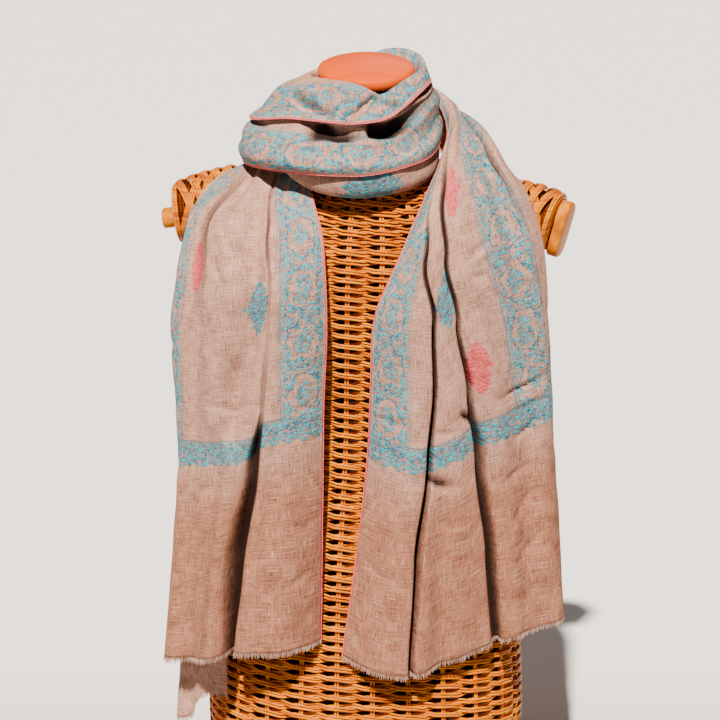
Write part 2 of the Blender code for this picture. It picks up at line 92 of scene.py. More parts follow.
# A section's top leans out, and its back is turned out, by these shares of their distance.
Stub = namedtuple("Stub", "x z half_height half_depth lean turn")
LEFT_SHOULDER = (
    Stub(90, 614, 46, 62, 0.00, 0.00),
    Stub(140, 627, 42, 50, 0.00, 0.00),
    Stub(172, 627, 34, 40, 0.05, 0.00),
    Stub(191, 623, 30, 34, 0.12, 0.00),
    Stub(199, 620, 26, 30, 0.15, 0.00),
)
RIGHT_SHOULDER = (
    Stub(90, 618, 46, 62, 0.00, 0.00),
    Stub(150, 622, 34, 46, 0.00, 0.00),
    Stub(180, 618, 30, 38, 0.12, 0.18),
    Stub(199, 612, 27, 31, 0.27, 0.40),
)
Plate = namedtuple("Plate", "name side slide size")
PLATES = (
    Plate("form_shoulder_plate_left", -1, -2, (13, 30, 19)),
    Plate("form_shoulder_plate_right", 1, -5, (12, 34, 60)),
)

# The cap's outline is read as (distance from its axis, height); it is seated at a height and
# leans forward by degrees.
CAP_OUTLINE = ((0.0, 1.0), (44.0, 0.6), (48.4, 1.2), (50.0, 3.6), (50.2, 6.5), (50.0, 9.2), (48.9, 11.2),
               (46.6, 12.6), (42.0, 14.3), (34.0, 16.4), (24.0, 17.9), (12.0, 18.8), (0.0, 19.0))
CAP_SEAT = 763.5
CAP_LEAN = 10.0
# Faces steeper than this take a darker copy of the lacquer, painted shade on the cap's side.
RIM_SLOPE = 0.5

# ---------------------------------------------------------------- the shawl's sections
# Angles go round the neck from the front (0) by the viewer's left (90) to the nape (180).
# Each pair is (distance from the neck's axis, height), from the upper to the lower edge.
Wound = namedtuple("Wound", "angle top shelf waist swell belly edge")
FRONT_WRAP = (
    Wound(-118, (65, 750), (66, 741), (67, 731), (67, 720), (67, 710), (66, 700)),
    Wound(-90, (66, 761), (70, 757), (73, 747), (75, 734), (77, 721), (77, 709)),
    Wound(-72, (65, 755), (71, 757), (74, 747), (77, 732), (80, 716), (80, 703)),
    Wound(-58, (64, 750), (73, 752), (73, 741), (76, 725), (82, 709), (84, 697)),
    Wound(-45, (62, 750), (72, 745), (71, 734), (77, 718), (88, 705), (90, 692)),
    Wound(-22, (62, 743), (72, 733), (71, 722), (80, 712), (95, 699), (98, 686)),
    Wound(0, (64, 753), (79, 736), (75, 723), (92, 712), (106, 697), (106, 681)),
    Wound(45, (66, 756), (98, 733), (106, 722), (121, 709), (127, 696), (121, 682)),
    Wound(90, (66, 757), (92, 741), (112, 724), (128, 710), (132, 694), (127, 678)),
    Wound(135, (66, 764), (84, 750), (104, 734), (120, 714), (127, 694), (121, 677)),
)
Turned = namedtuple("Turned", "angle inner lip rim slope edge")
TURNED_EDGE = (
    Turned(-106, (53, 758), (54, 769), (56, 773), (57, 770), (58, 762)),
    Turned(-96, (54, 757), (55, 770), (57, 775), (59, 772), (60, 763)),
    Turned(-84, (54, 755), (56, 769), (60, 776), (63, 773), (66, 764)),
    Turned(-68, (53, 752), (56, 769), (61, 776), (65, 772), (70, 762)),
    Turned(-49, (53, 747), (54, 764), (58, 770), (65, 765), (71, 754)),
    Turned(-30, (53, 742), (54, 756), (57, 761), (65, 754), (74, 742)),
    Turned(-14, (53, 738), (54, 749), (58, 755), (70, 746), (81, 733)),
    Turned(8, (53, 742), (54, 758), (60, 765), (76, 753), (90, 730)),
    Turned(45, (53, 746), (54, 762), (60, 768), (84, 755), (106, 733)),
    Turned(90, (54, 748), (55, 760), (61, 766), (91, 749), (120, 723)),
    Turned(135, (54, 750), (55, 763), (61, 769), (82, 758), (104, 737)),
    Turned(180, (54, 756), (55, 770), (61, 777), (77, 769), (94, 752)),
    Turned(205, (56, 762), (58, 779), (65, 786), (77, 780), (90, 763)),
    Turned(222, (59, 758), (61, 775), (68, 783), (75, 779), (84, 765)),
    Turned(234, (60, 756), (62, 772), (67, 780), (73, 775), (80, 764)),
    Turned(247, (61, 754), (63, 767), (65.5, 774), (67.5, 772), (69.5, 767)),
    Turned(260, (62, 752), (63, 763), (64.2, 767.5), (65.4, 767), (66.4, 764)),
)
Cowl = namedtuple("Cowl", "angle inner hem belly rise")
COWL = (
    Cowl(-96, (61, 712), (66, 699), (70, 704), (70, 717)),
    Cowl(-75, (64, 704), (74, 686), (78, 693), (72, 714)),
    Cowl(-45, (70, 689), (84, 666), (90, 676), (83, 701)),
    Cowl(0, (80, 679), (93, 655), (101, 667), (97, 691)),
    Cowl(30, (88, 682), (101, 661), (108, 671), (105, 692)),
    Cowl(56, (92, 696), (104, 682), (111, 688), (110, 701)),
)
Level = namedtuple("Level", "name selvedge inner middle outer fold turned")
RIGHT_END = (
    Level("nape", (0, 65, 771), (0, 79, 763), (0, 94, 743), (0, 105, 716), (0, 107, 694), (0, 98, 678)),
    Level("behind", (56, 56, 752), (65, 66, 745), (79, 78, 728), (92, 86, 704), (100, 87, 682),
        (102, 76, 668)),
    Level("crest", (83, 13, 714), (90, 19, 726), (103, 24, 719), (121, 20, 702), (138, 12, 682),
        (144, 22, 668)),
    Level("neck", (76, -56, 690), (84, -62, 702), (101, -54, 703), (126, -38, 691), (146, -25, 676),
        (147, -6, 665)),
    Level("collarbone", (56, -94, 654), (72, -110, 662), (98, -106, 664), (134, -82, 660),
        (166, -52, 650), (154, -38, 660)),
    Level("chest", (33, -118, 604), (60, -134, 604), (100, -131, 603), (146, -106, 601), (182, -70, 599),
        (166, -56, 600)),
    Level("bust", (7, -128, 540), (48, -140, 538), (96, -136, 537), (143, -114, 536), (186, -78, 535),
        (162, -54, 536)),
    Level("ribs", (3, -123, 465), (45, -138, 465), (95, -135, 464), (146, -113, 464), (190, -78, 463),
        (162, -48, 464)),
    Level("waist", (-1, -116, 388), (45, -139, 386), (97, -128, 385), (150, -108, 386), (195, -78, 388),
        (164, -46, 388)),
    Level("low", (-12, -117, 284), (43, -143, 282), (98, -122, 280), (153, -106, 286), (203, -76, 290),
        (170, -44, 292)),
    Level("hem", (-27, -119, 173), (42, -145, 162), (104, -112, 174), (159, -102, 193), (207, -73, 205),
        (174, -42, 208)),
)
LEFT_END = (
    Level("tuck", (-50, 24, 726), (-60, 26, 712), (-76, 26, 701), (-93, 24, 689), (-107, 19, 679),
        (-119, 14, 675)),
    Level("crest", (-56, -16, 718), (-68, -14, 707), (-84, -12, 695), (-106, -12, 684), (-130, -17, 675),
        (-147, -24, 668)),
    Level("shoulder", (-56, -70, 664), (-74, -69, 664), (-94, -64, 662), (-118, -57, 660),
        (-148, -46, 659), (-164, -38, 656)),
    Level("collarbone", (-44, -110, 622), (-76, -114, 624), (-110, -106, 626), (-146, -87, 630),
        (-180, -60, 634), (-176, -50, 636)),
    Level("chest", (-40, -125, 574), (-78, -135, 574), (-116, -131, 574), (-156, -112, 575),
        (-191, -86, 576), (-184, -76, 576)),
    Level("bust", (-39, -128, 520), (-78, -138, 520), (-118, -134, 520), (-161, -116, 520),
        (-198, -90, 520), (-190, -80, 520)),
    Level("ribs", (-42, -124, 450), (-80, -137, 450), (-120, -133, 450), (-160, -115, 449),
        (-195, -90, 448), (-187, -80, 448)),
    Level("waist", (-43, -121, 380), (-84, -137, 380), (-123, -134, 380), (-162, -116, 378),
        (-194, -90, 376), (-186, -80, 376)),
    Level("low", (-44, -118, 284), (-88, -140, 282), (-132, -136, 280), (-170, -118, 275),
        (-202, -92, 270), (-195, -81, 270)),
    Level("hem", (-45, -117, 191), (-90, -140, 188), (-140, -137, 184), (-178, -120, 171),
        (-212, -93, 163), (-204, -82, 164)),
)
LEFT_UNDER_LAYER = (
    Level("tuck", (-144, -72, 616), (-150, -70, 616), (-156, -65, 616), (-161, -60, 616),
        (-165, -54, 616), (-162, -51, 616)),
    Level("chest", (-146, -88, 560), (-155, -86, 560), (-164, -79, 560), (-171, -71, 560),
        (-178, -63, 560), (-172, -53, 560)),
    Level("ribs", (-146, -94, 450), (-156, -92, 450), (-165, -86, 450), (-174, -78, 450),
        (-181, -66, 450), (-176, -54, 450)),
    Level("waist", (-146, -95, 340), (-158, -94, 340), (-168, -86, 340), (-178, -76, 340),
        (-186, -64, 340), (-180, -52, 340)),
    Level("low", (-147, -93, 240), (-160, -92, 240), (-172, -82, 240), (-182, -72, 238), (-191, -62, 236),
        (-184, -48, 236)),
    Level("shin", (-147, -90, 170), (-161, -89, 170), (-174, -77, 167), (-186, -68, 160),
        (-197, -60, 156), (-190, -46, 156)),
    Level("hem", (-147, -88, 119), (-162, -88, 121), (-177, -74, 112), (-188, -66, 86), (-203, -60, 83),
        (-196, -44, 86)),
)


# ---------------------------------------------------------------- folds and flat patterns
@dataclass(frozen=True)
class Stop:
    """One reading of a fold: where it is, how deep and how wide, in millimetres."""

    mark: str | float
    place: float
    depth: float
    half_width: float


@dataclass(frozen=True)
class Fold:
    """A trough, or a ridge where its depth is negative, that runs along a stretch.

    A power of 2 is a soft fold and 4 a steep slot. A shoulder is the share of the depth that
    the cloth gives way on both sides of the slot.
    """

    name: str
    stops: tuple[Stop, ...]
    power: float = 2.0
    shoulder: float = 0.0


@dataclass(frozen=True)
class Wrinkle:
    """A short crease in any direction, through points of (mark, place)."""

    half_width: float
    depth: float
    points: tuple[tuple[str | float, float], ...]


@dataclass(frozen=True)
class FlatLine:
    """A line of the flat cloth: its place at each level and its distance from the selvedge.

    Before and after differ by the cloth that a fold on the line hides; without an after they
    are the same. The lift is added to how far from the hem the cloth before the line lies.
    """

    name: str
    places: tuple[float, ...]
    before: tuple[float, ...]
    after: tuple[float, ...] | None = None
    lift: float = 0.0


def stops(levels: tuple[Level, ...], first: str, places: tuple[float, ...], depths: tuple[float, ...],
          widths: tuple[float, ...] | float) -> tuple[Stop, ...]:
    """Pair up the readings of one fold, one for each level from the first on.

    Args:
        levels: the stretch's levels.
        first: the name of the level that the fold starts at.
        places: the fold's place at each.
        depths: its depth at each.
        widths: its half width at each, or one for all.

    Returns:
        The stops in order.
    """
    names = [level.name for level in levels]
    if isinstance(widths, (int, float)):
        widths = (widths,) * len(places)
    return tuple(Stop(*row) for row in zip(names[names.index(first):], places, depths, widths))


def turns(*rows: tuple[float, float, float, float]) -> tuple[Stop, ...]:
    """Stops of a fold round the neck, each (angle, place, depth, half width)."""
    return tuple(Stop(*row) for row in rows)


# Places of the right end's two slots, from the nape to the hem; the flat pattern has them too.
RIGHT_EDGE_LINE = (0.10, 0.10, 0.10, 0.08, 0.11, 0.19, 0.285, 0.30, 0.28, 0.24, 0.217)
RIGHT_INNER_LINE = (0.20, 0.20, 0.20, 0.17, 0.235, 0.305, 0.385, 0.44, 0.475, 0.515, 0.517)
RIGHT_SLOTS = (
    Fold("beside the edge band", stops(RIGHT_END, "nape",
        RIGHT_EDGE_LINE,
        (0, 0, 0, 1, 5, 11, 14, 15, 18, 20, 20),
        (2.0, 2.0, 2.0, 2.0, 2.0, 2.2, 2.2, 2.4, 3.2, 4.0, 3.2)), 4.0, 0.16),
    Fold("beside the medallions", stops(RIGHT_END, "nape",
        RIGHT_INNER_LINE,
        (0, 0, 0, 3, 8, 10, 13, 16, 18, 15, 13),
        (2.0, 2.0, 2.0, 2.0, 2.2, 2.2, 2.2, 3.0, 4.6, 5.2, 5.0)), 4.0, 0.16),
)
RIGHT_FOLDS = (
    Fold("slot under the outer fold", stops(RIGHT_END, "nape", (0.38, 0.40, 0.41, 0.585, 0.66, 0.70),
        (0, 5, 12, 12, 3, 0), (6, 5.0, 5.0, 4.4, 4.0, 5.0)), 3.0),
    Fold("outer fold", stops(RIGHT_END, "nape",
        (0.60, 0.56, 0.55, 0.62, 0.68, 0.68, 0.72, 0.74, 0.72, 0.72, 0.74),
        (-4, -4, -5, -5, -4, -3, -3, -3, -4, -6, -8), 14)),
    Fold("soft valley before the outer fold", stops(RIGHT_END, "nape",
        (0.50, 0.50, 0.50, 0.50, 0.575, 0.61, 0.66, 0.72, 0.66, 0.64, 0.62),
        (0, 0, 0, 0, 4, 4, 2, 1, 2, 2, 2), 9)),
    Fold("crown of the edge band", stops(RIGHT_END, "collarbone",
        (0.06, 0.09, 0.14, 0.15, 0.13, 0.12, 0.11), (0, -1.5, -2, -2, -2, -3, -4),
        (9, 12, 16, 16, 16, 18, 20))),
    Fold("curl of the selvedge", stops(RIGHT_END, "neck", (0, 0, 0, 0, 0, 0, 0, 0),
        (0, 1.5, 3, 4, 3.5, 4, 4, 5), (5, 6, 7, 8, 8, 8, 9, 10))),
    Fold("crown between the slots", stops(RIGHT_END, "collarbone",
        (0.16, 0.245, 0.335, 0.365, 0.37, 0.37, 0.36), (-3, -4, -4.5, -5, -4, -2, -3),
        (7, 8, 9, 10, 13, 18, 20))),
    Fold("hollow beside the proud fold", stops(RIGHT_END, "collarbone",
        (0.30, 0.30, 0.34, 0.35, 0.35, 0.33, 0.32), (0, 2, 3, 4, 5, 7, 8), (8, 9, 11, 12, 14, 15, 15))),
    Fold("fold by the medallions", stops(RIGHT_END, "collarbone",
        (0.31, 0.37, 0.47, 0.53, 0.55, 0.59, 0.60), (-3, -3, -3.5, -4, -5, -6, -6),
        (9, 10, 12, 13, 14, 14, 14))),
    Fold("flute under the outer fold", stops(RIGHT_END, "chest", (0.86, 0.87, 0.88, 0.88, 0.88, 0.87),
        (2, 3, 3, 4, 5, 6), 9)),
    Fold("gather at the crest", stops(RIGHT_END, "nape", (0.28, 0.28, 0.29, 0.33, 0.36),
        (3, 3.5, 4, 3.5, 0), 5)),
    Fold("second gather", stops(RIGHT_END, "nape", (0.74, 0.74, 0.78, 0.80), (4, 5, 4, 0), 6)),
    Fold("third gather", stops(RIGHT_END, "nape", (0.16, 0.15, 0.16), (2.5, 3, 0), 4)),
)
RIGHT_WRINKLES = (
    Wrinkle(2.4, 3.7, ((7.14, 0.54), (7.05, 0.62), (6.95, 0.70), (6.86, 0.76))),
    Wrinkle(3.0, -2.7, ((7.30, 0.56), (7.22, 0.64), (7.10, 0.74))),
    Wrinkle(2.6, 3.4, ((7.76, 0.60), (7.62, 0.66), (7.46, 0.71))),
    Wrinkle(3.2, 2.5, ((5.02, 0.41), (4.86, 0.46), (4.72, 0.52))),
    Wrinkle(2.6, -2.0, ((5.10, 0.42), (4.98, 0.47), (4.84, 0.53))),
    Wrinkle(2.4, 2.4, ((5.34, 0.41), (5.30, 0.45), (5.26, 0.50))),
    Wrinkle(3.4, 3.1, ((8.27, 0.54), (8.16, 0.60), (8.08, 0.67))),
    Wrinkle(3.2, 2.4, ((8.73, 0.58), (8.50, 0.64), (8.30, 0.70))),
    Wrinkle(3.6, 2.4, ((9.15, 0.60), (8.95, 0.66), (8.75, 0.72))),
    Wrinkle(5.5, 7.0, ((8.10, 0.26), (8.20, 0.32), (8.24, 0.38))),
    Wrinkle(4.4, 6.5, ((7.28, 0.40), (7.36, 0.42), (7.46, 0.45))),
    Wrinkle(2.6, 2.0, ((7.60, 0.28), (7.56, 0.33), (7.57, 0.38))),
    Wrinkle(2.8, -2.0, ((8.74, 0.31), (8.70, 0.38), (8.68, 0.44))),
    Wrinkle(2.6, 2.4, ((7.40, 0.02), (7.42, 0.10), (7.46, 0.17))),
    Wrinkle(4.5, 2.7, ((9.02, 0.03), (9.12, 0.10), (9.14, 0.18))),
    Wrinkle(3.4, 0.8, ((5.9, 0.78), (6.1, 0.84), (6.2, 0.92))),
    Wrinkle(3.0, 2.7, ((7.9, 0.80), (8.2, 0.86), (8.3, 0.94))),
)
LEFT_SLOTS = (
    Fold("beside the edge band", stops(LEFT_END, "tuck",
        (0.40, 0.40, 0.41, 0.335, 0.298, 0.31, 0.325, 0.365, 0.42, 0.42),
        (0, 0, 3, 6, 2.5, 1.5, 3, 17, 27, 27),
        (2.0, 2.0, 1.8, 1.8, 1.8, 2.2, 2.2, 6.0, 8.0, 5.0)), 4.0, 0.12),
)
LEFT_FOLDS = (
    Fold("ridge by the edge band", stops(LEFT_END, "shoulder",
        (0.37, 0.30, 0.27, 0.275, 0.285, 0.31, 0.34), (-1, -2.5, -2.5, -2.5, -3, -3.5, -2), 7)),
    Fold("long soft trough", stops(LEFT_END, "shoulder", (0.47, 0.41, 0.38, 0.40, 0.47, 0.56, 0.60, 0.62),
        (3, 6, 9, 11, 10, 6, 3, 3), (9, 10, 11, 12, 11, 12, 12, 12))),
    Fold("middle ridge", stops(LEFT_END, "crest", (0.52, 0.54, 0.52, 0.50, 0.52, 0.58, 0.50, 0.50, 0.50),
        (-3, -5, -5, -5, -5, -5, -4, -5, -5), 13)),
    Fold("tucked fold by the side medallion", stops(LEFT_END, "crest", (0.70, 0.72, 0.685, 0.665, 0.66),
        (1, 4, 7, 3, 0), (6, 5, 3.6, 6, 8)), 3.0, 0.2),
    Fold("outer trough", stops(LEFT_END, "collarbone", (0.68, 0.68, 0.66, 0.68, 0.70, 0.68, 0.66),
        (1, 4, 6, 4, 4, 5, 7), 11)),
    Fold("first fan fold", stops(LEFT_END, "tuck", (0.30, 0.30, 0.30, 0.26), (3, 4, 2.5, 0), 5)),
    Fold("second fan fold", stops(LEFT_END, "tuck", (0.62, 0.62, 0.63, 0.60), (3, 4.5, 4, 0), 6)),
    Fold("third fan fold", stops(LEFT_END, "tuck", (0.86, 0.86, 0.86, 0.84, 0.84), (3, 4, 4.5, 3.5, 0),
        7)),
    Fold("crown of the edge band", stops(LEFT_END, "collarbone",
        (0.12, 0.12, 0.12, 0.12, 0.13, 0.16, 0.18), (-1, -2, -2, -2, -2, -3, -4),
        (14, 16, 16, 16, 18, 20, 22))),
    Fold("curl of the selvedge", stops(LEFT_END, "shoulder", (0,) * 8, (1, 2, 3, 3.5, 3, 3, 3.5, 4), 8)),
    Fold("rolled lip of the opening", stops(LEFT_END, "ribs", (0.40, 0.45, 0.50, 0.50), (0, -4, -5, -4),
        (9, 10, 10, 10))),
)
LEFT_WRINKLES = (
    Wrinkle(3.4, 2.9, ((3.15, 0.56), (3.45, 0.50), (3.75, 0.44))),
    Wrinkle(3.4, -2.2, ((3.05, 0.62), (3.35, 0.57), (3.60, 0.52))),
    Wrinkle(2.8, 2.2, ((2.75, 0.53), (2.95, 0.53), (3.10, 0.54))),
    Wrinkle(3.2, 2.1, ((3.62, 0.60), (3.90, 0.56), (4.12, 0.50))),
    Wrinkle(2.6, 1.6, ((6.04, 0.30), (5.98, 0.38), (6.06, 0.46))),
    Wrinkle(3.0, 2.4, ((6.16, 0.47), (6.05, 0.52), (6.02, 0.60))),
    Wrinkle(3.0, 1.9, ((7.55, 0.02), (7.62, 0.10), (7.58, 0.18))),
    Wrinkle(3.4, 1.9, ((8.10, 0.05), (8.22, 0.14), (8.18, 0.24))),
    Wrinkle(3.6, 2.2, ((7.55, 0.60), (7.80, 0.66), (8.10, 0.70))),
    Wrinkle(3.2, 1.9, ((7.15, 0.72), (7.25, 0.64), (7.20, 0.56))),
    Wrinkle(2.6, 2.1, ((6.10, 0.02), (6.02, 0.10), (6.05, 0.19))),
    Wrinkle(2.8, 1.9, ((5.15, 0.80), (5.30, 0.86), (5.40, 0.94))),
    Wrinkle(3.0, 2.6, ((6.95, 0.84), (7.15, 0.90), (7.20, 0.97))),
)
WRAP_FOLDS = (
    Fold("valley under the turned edge", turns((44, 0.16, 0, 5), (38, 0.25, 4, 6), (29, 0.38, 9, 8),
        (15, 0.48, 9, 8), (6, 0.52, 5, 7), (1, 0.52, 0, 6)), 2.6),
    Fold("knob beside the recess", turns((16, 0.33, 0, 6), (9, 0.36, -5, 6), (2, 0.40, -6, 6),
        (-3, 0.42, 0, 6))),
    Fold("recess", turns((4, 0.36, 0, 6), (-4, 0.42, 8, 8), (-16, 0.44, 9, 9), (-28, 0.40, 8, 9),
        (-42, 0.32, 6, 9), (-60, 0.26, 3, 9)), 2.6),
    Fold("ridge below the recess", turns((12, 0.56, 0, 5), (4, 0.58, -3, 5), (-8, 0.63, -4.5, 5),
        (-24, 0.60, -4.5, 5), (-42, 0.52, -4, 6), (-62, 0.46, -3, 6), (-100, 0.44, -2, 6))),
    Fold("long crease on the belly", turns((78, 0.55, 0, 6), (60, 0.58, 2.5, 6), (38, 0.64, 3.5, 6),
        (18, 0.72, 3.0, 6), (0, 0.78, 2.5, 6), (-20, 0.78, 3.0, 6), (-45, 0.72, 3.0, 6),
        (-80, 0.66, 2, 6), (-110, 0.66, 2, 6))),
    Fold("roll above the edge", turns((100, 0.86, 0, 8), (60, 0.88, -2.5, 8), (20, 0.90, -2.5, 7),
        (-30, 0.90, -2, 7), (-80, 0.88, -1, 7))),
    Fold("crease at the turn", turns((128, 0.50, 2, 6), (110, 0.47, 4.0, 6), (90, 0.42, 4.0, 6),
        (74, 0.40, 3, 6), (58, 0.42, 0, 6))),
    Fold("second crease at the turn", turns((135, 0.72, 3, 6), (112, 0.74, 4, 6), (92, 0.70, 3, 6),
        (72, 0.66, 0, 6))),
    Fold("upper roll at the back", turns((135, 0.28, 3, 7), (112, 0.26, 3, 7), (92, 0.20, 0, 7))),
)
WRAP_WRINKLES = (
    Wrinkle(2.4, 1.8, ((30.0, 0.86), (22.0, 0.83), (14.0, 0.86))),
    Wrinkle(2.4, 2.1, ((8.0, 0.66), (2.0, 0.70), (-6.0, 0.70))),
    Wrinkle(2.2, 1.8, ((52.0, 0.48), (46.0, 0.53), (38.0, 0.56))),
)
TURNED_FOLDS = (
    Fold("fold from the rim", turns((64, 0.70, 0, 5), (50, 0.78, 4.5, 5), (40, 0.84, 5.5, 5),
        (28, 0.90, 4.5, 5), (16, 0.93, 0, 5)), 2.6),
    Fold("fold from the notch", turns((-16, 0.48, 0, 4), (-8, 0.64, 5.0, 5), (0, 0.80, 7.0, 6),
        (8, 0.93, 5.0, 6), (18, 0.97, 0, 6)), 2.6),
    Fold("fold right of the notch", turns((-12, 0.55, 0, 4), (-18, 0.72, 4.5, 4), (-25, 0.86, 4.0, 4),
        (-34, 0.96, 0, 4)), 2.6),
    Fold("swell of the flap", turns((130, 0.74, -2, 10), (90, 0.74, -3, 12), (60, 0.72, -3.5, 11),
        (34, 0.72, -3.5, 9), (14, 0.74, -3, 7), (-6, 0.7, 0, 6))),
    Fold("roll along the edge", turns((150, 0.93, 1.5, 6), (90, 0.93, 2.5, 6), (45, 0.93, 1.5, 5),
        (10, 0.93, 1.0, 5), (-30, 0.93, 1.0, 4), (-70, 0.93, 0, 4))),
    Fold("crease behind", turns((100, 0.62, 0, 6), (120, 0.66, 4, 6), (145, 0.74, 4.5, 6),
        (170, 0.84, 3, 6), (190, 0.92, 0, 6))),
    Fold("second crease behind", turns((150, 0.56, 0, 5), (170, 0.60, 3, 5), (195, 0.70, 4, 5),
        (215, 0.80, 2, 5))),
)
TURNED_WRINKLES = (
    Wrinkle(2.2, 2.1, ((75.0, 0.86), (66.0, 0.88), (56.0, 0.86))),
    Wrinkle(2.0, 1.5, ((50.0, 0.66), (42.0, 0.70), (34.0, 0.68))),
)
COWL_FOLDS = (
    Fold("crease on the belly", turns((40, 0.80, 0, 5), (20, 0.78, 1.5, 5), (0, 0.80, 2.5, 5),
        (-20, 0.84, 2.5, 5), (-40, 0.86, 1.5, 5), (-70, 0.84, 0, 5))),
    Fold("roll of the lower edge", turns((50, 0.40, 0, 5), (20, 0.42, -1.5, 6), (-15, 0.42, -2, 6),
        (-50, 0.42, 0, 5))),
)
UNDER_FOLDS = (
    Fold("long flute", stops(LEFT_UNDER_LAYER, "tuck", (0.4, 0.42, 0.45, 0.42, 0.42, 0.44, 0.46),
        (0, 2, 2.5, 2, 2.5, 3, 3), 6)),
    Fold("ridge beside it", stops(LEFT_UNDER_LAYER, "chest", (0.22, 0.2, 0.22, 0.24, 0.22, 0.2),
        (0, -1.5, -2, -2, -2.5, -3), 6)),
    Fold("outer flute", stops(LEFT_UNDER_LAYER, "chest", (0.72, 0.7, 0.72, 0.7, 0.72, 0.72),
        (0, 1.5, 2, 2.5, 3, 3), 5)),
)
UNDER_WRINKLES = (
    Wrinkle(3.0, 1.5, (("low", 0.1), (4.4, 0.3), (4.6, 0.5))),
)

RIGHT_FLAT = (
    FlatLine("beside the edge band", RIGHT_EDGE_LINE,
        (28, 28, 28, 26, 34, 52, 76, 73, 68, 72, 80), (56, 56, 56, 56, 60, 70, 82, 80, 82, 84, 84)),
    FlatLine("beside the medallions",
        RIGHT_INNER_LINE,
        (86, 86, 84, 78, 84, 94, 110, 114, 132, 160, 178),
        (150, 150, 150, 156, 162, 165, 167, 168, 172, 184, 190)),
    FlatLine("inner band, near side",
        (0.40, 0.34, 0.25, 0.33, 0.44, 0.485, 0.58, 0.615, 0.63, 0.63, 0.63), (218,) * 11),
    FlatLine("inner band, far side", (0.55, 0.52, 0.49, 0.59, 0.67, 0.70, 0.735, 0.785, 0.79, 0.79, 0.79),
        (264,) * 11),
    FlatLine("turned edge", (1.0,) * 11, (352, 350, 348, 350, 360, 362, 356, 346, 342, 345, 345)),
)
LEFT_FLAT = (
    FlatLine("band border", (0.40, 0.39, 0.38, 0.258, 0.243, 0.245, 0.235, 0.235, 0.24, 0.24),
        (48,) * 10, lift=-7.0),
    FlatLine("beside the edge band", (0.42, 0.42, 0.41, 0.335, 0.298, 0.31, 0.325, 0.365, 0.42, 0.42),
        (52, 52, 54, 60, 62, 64, 70, 80, 92, 94), (74, 74, 75, 76, 76, 76, 82, 92, 100, 100), lift=-7.0),
    FlatLine("tucked fold", (0.72, 0.71, 0.72, 0.685, 0.665, 0.66, 0.68, 0.70, 0.70, 0.70),
        (140, 150, 158, 164, 168, 172, 186, 196, 200, 200),
        (172, 176, 180, 184, 178, 176, 190, 198, 202, 202), lift=6.0),
    FlatLine("inner band, near side", (0.76, 0.76, 0.765, 0.735, 0.735, 0.73, 0.745, 0.76, 0.77, 0.77),
        (218,) * 10, lift=6.0),
    FlatLine("turned edge", (1.0,) * 10, (270, 272, 274, 284, 286, 286, 284, 284, 286, 288), lift=6.0),
)


# ---------------------------------------------------------------- node workbench
Feed = Socket | float | tuple


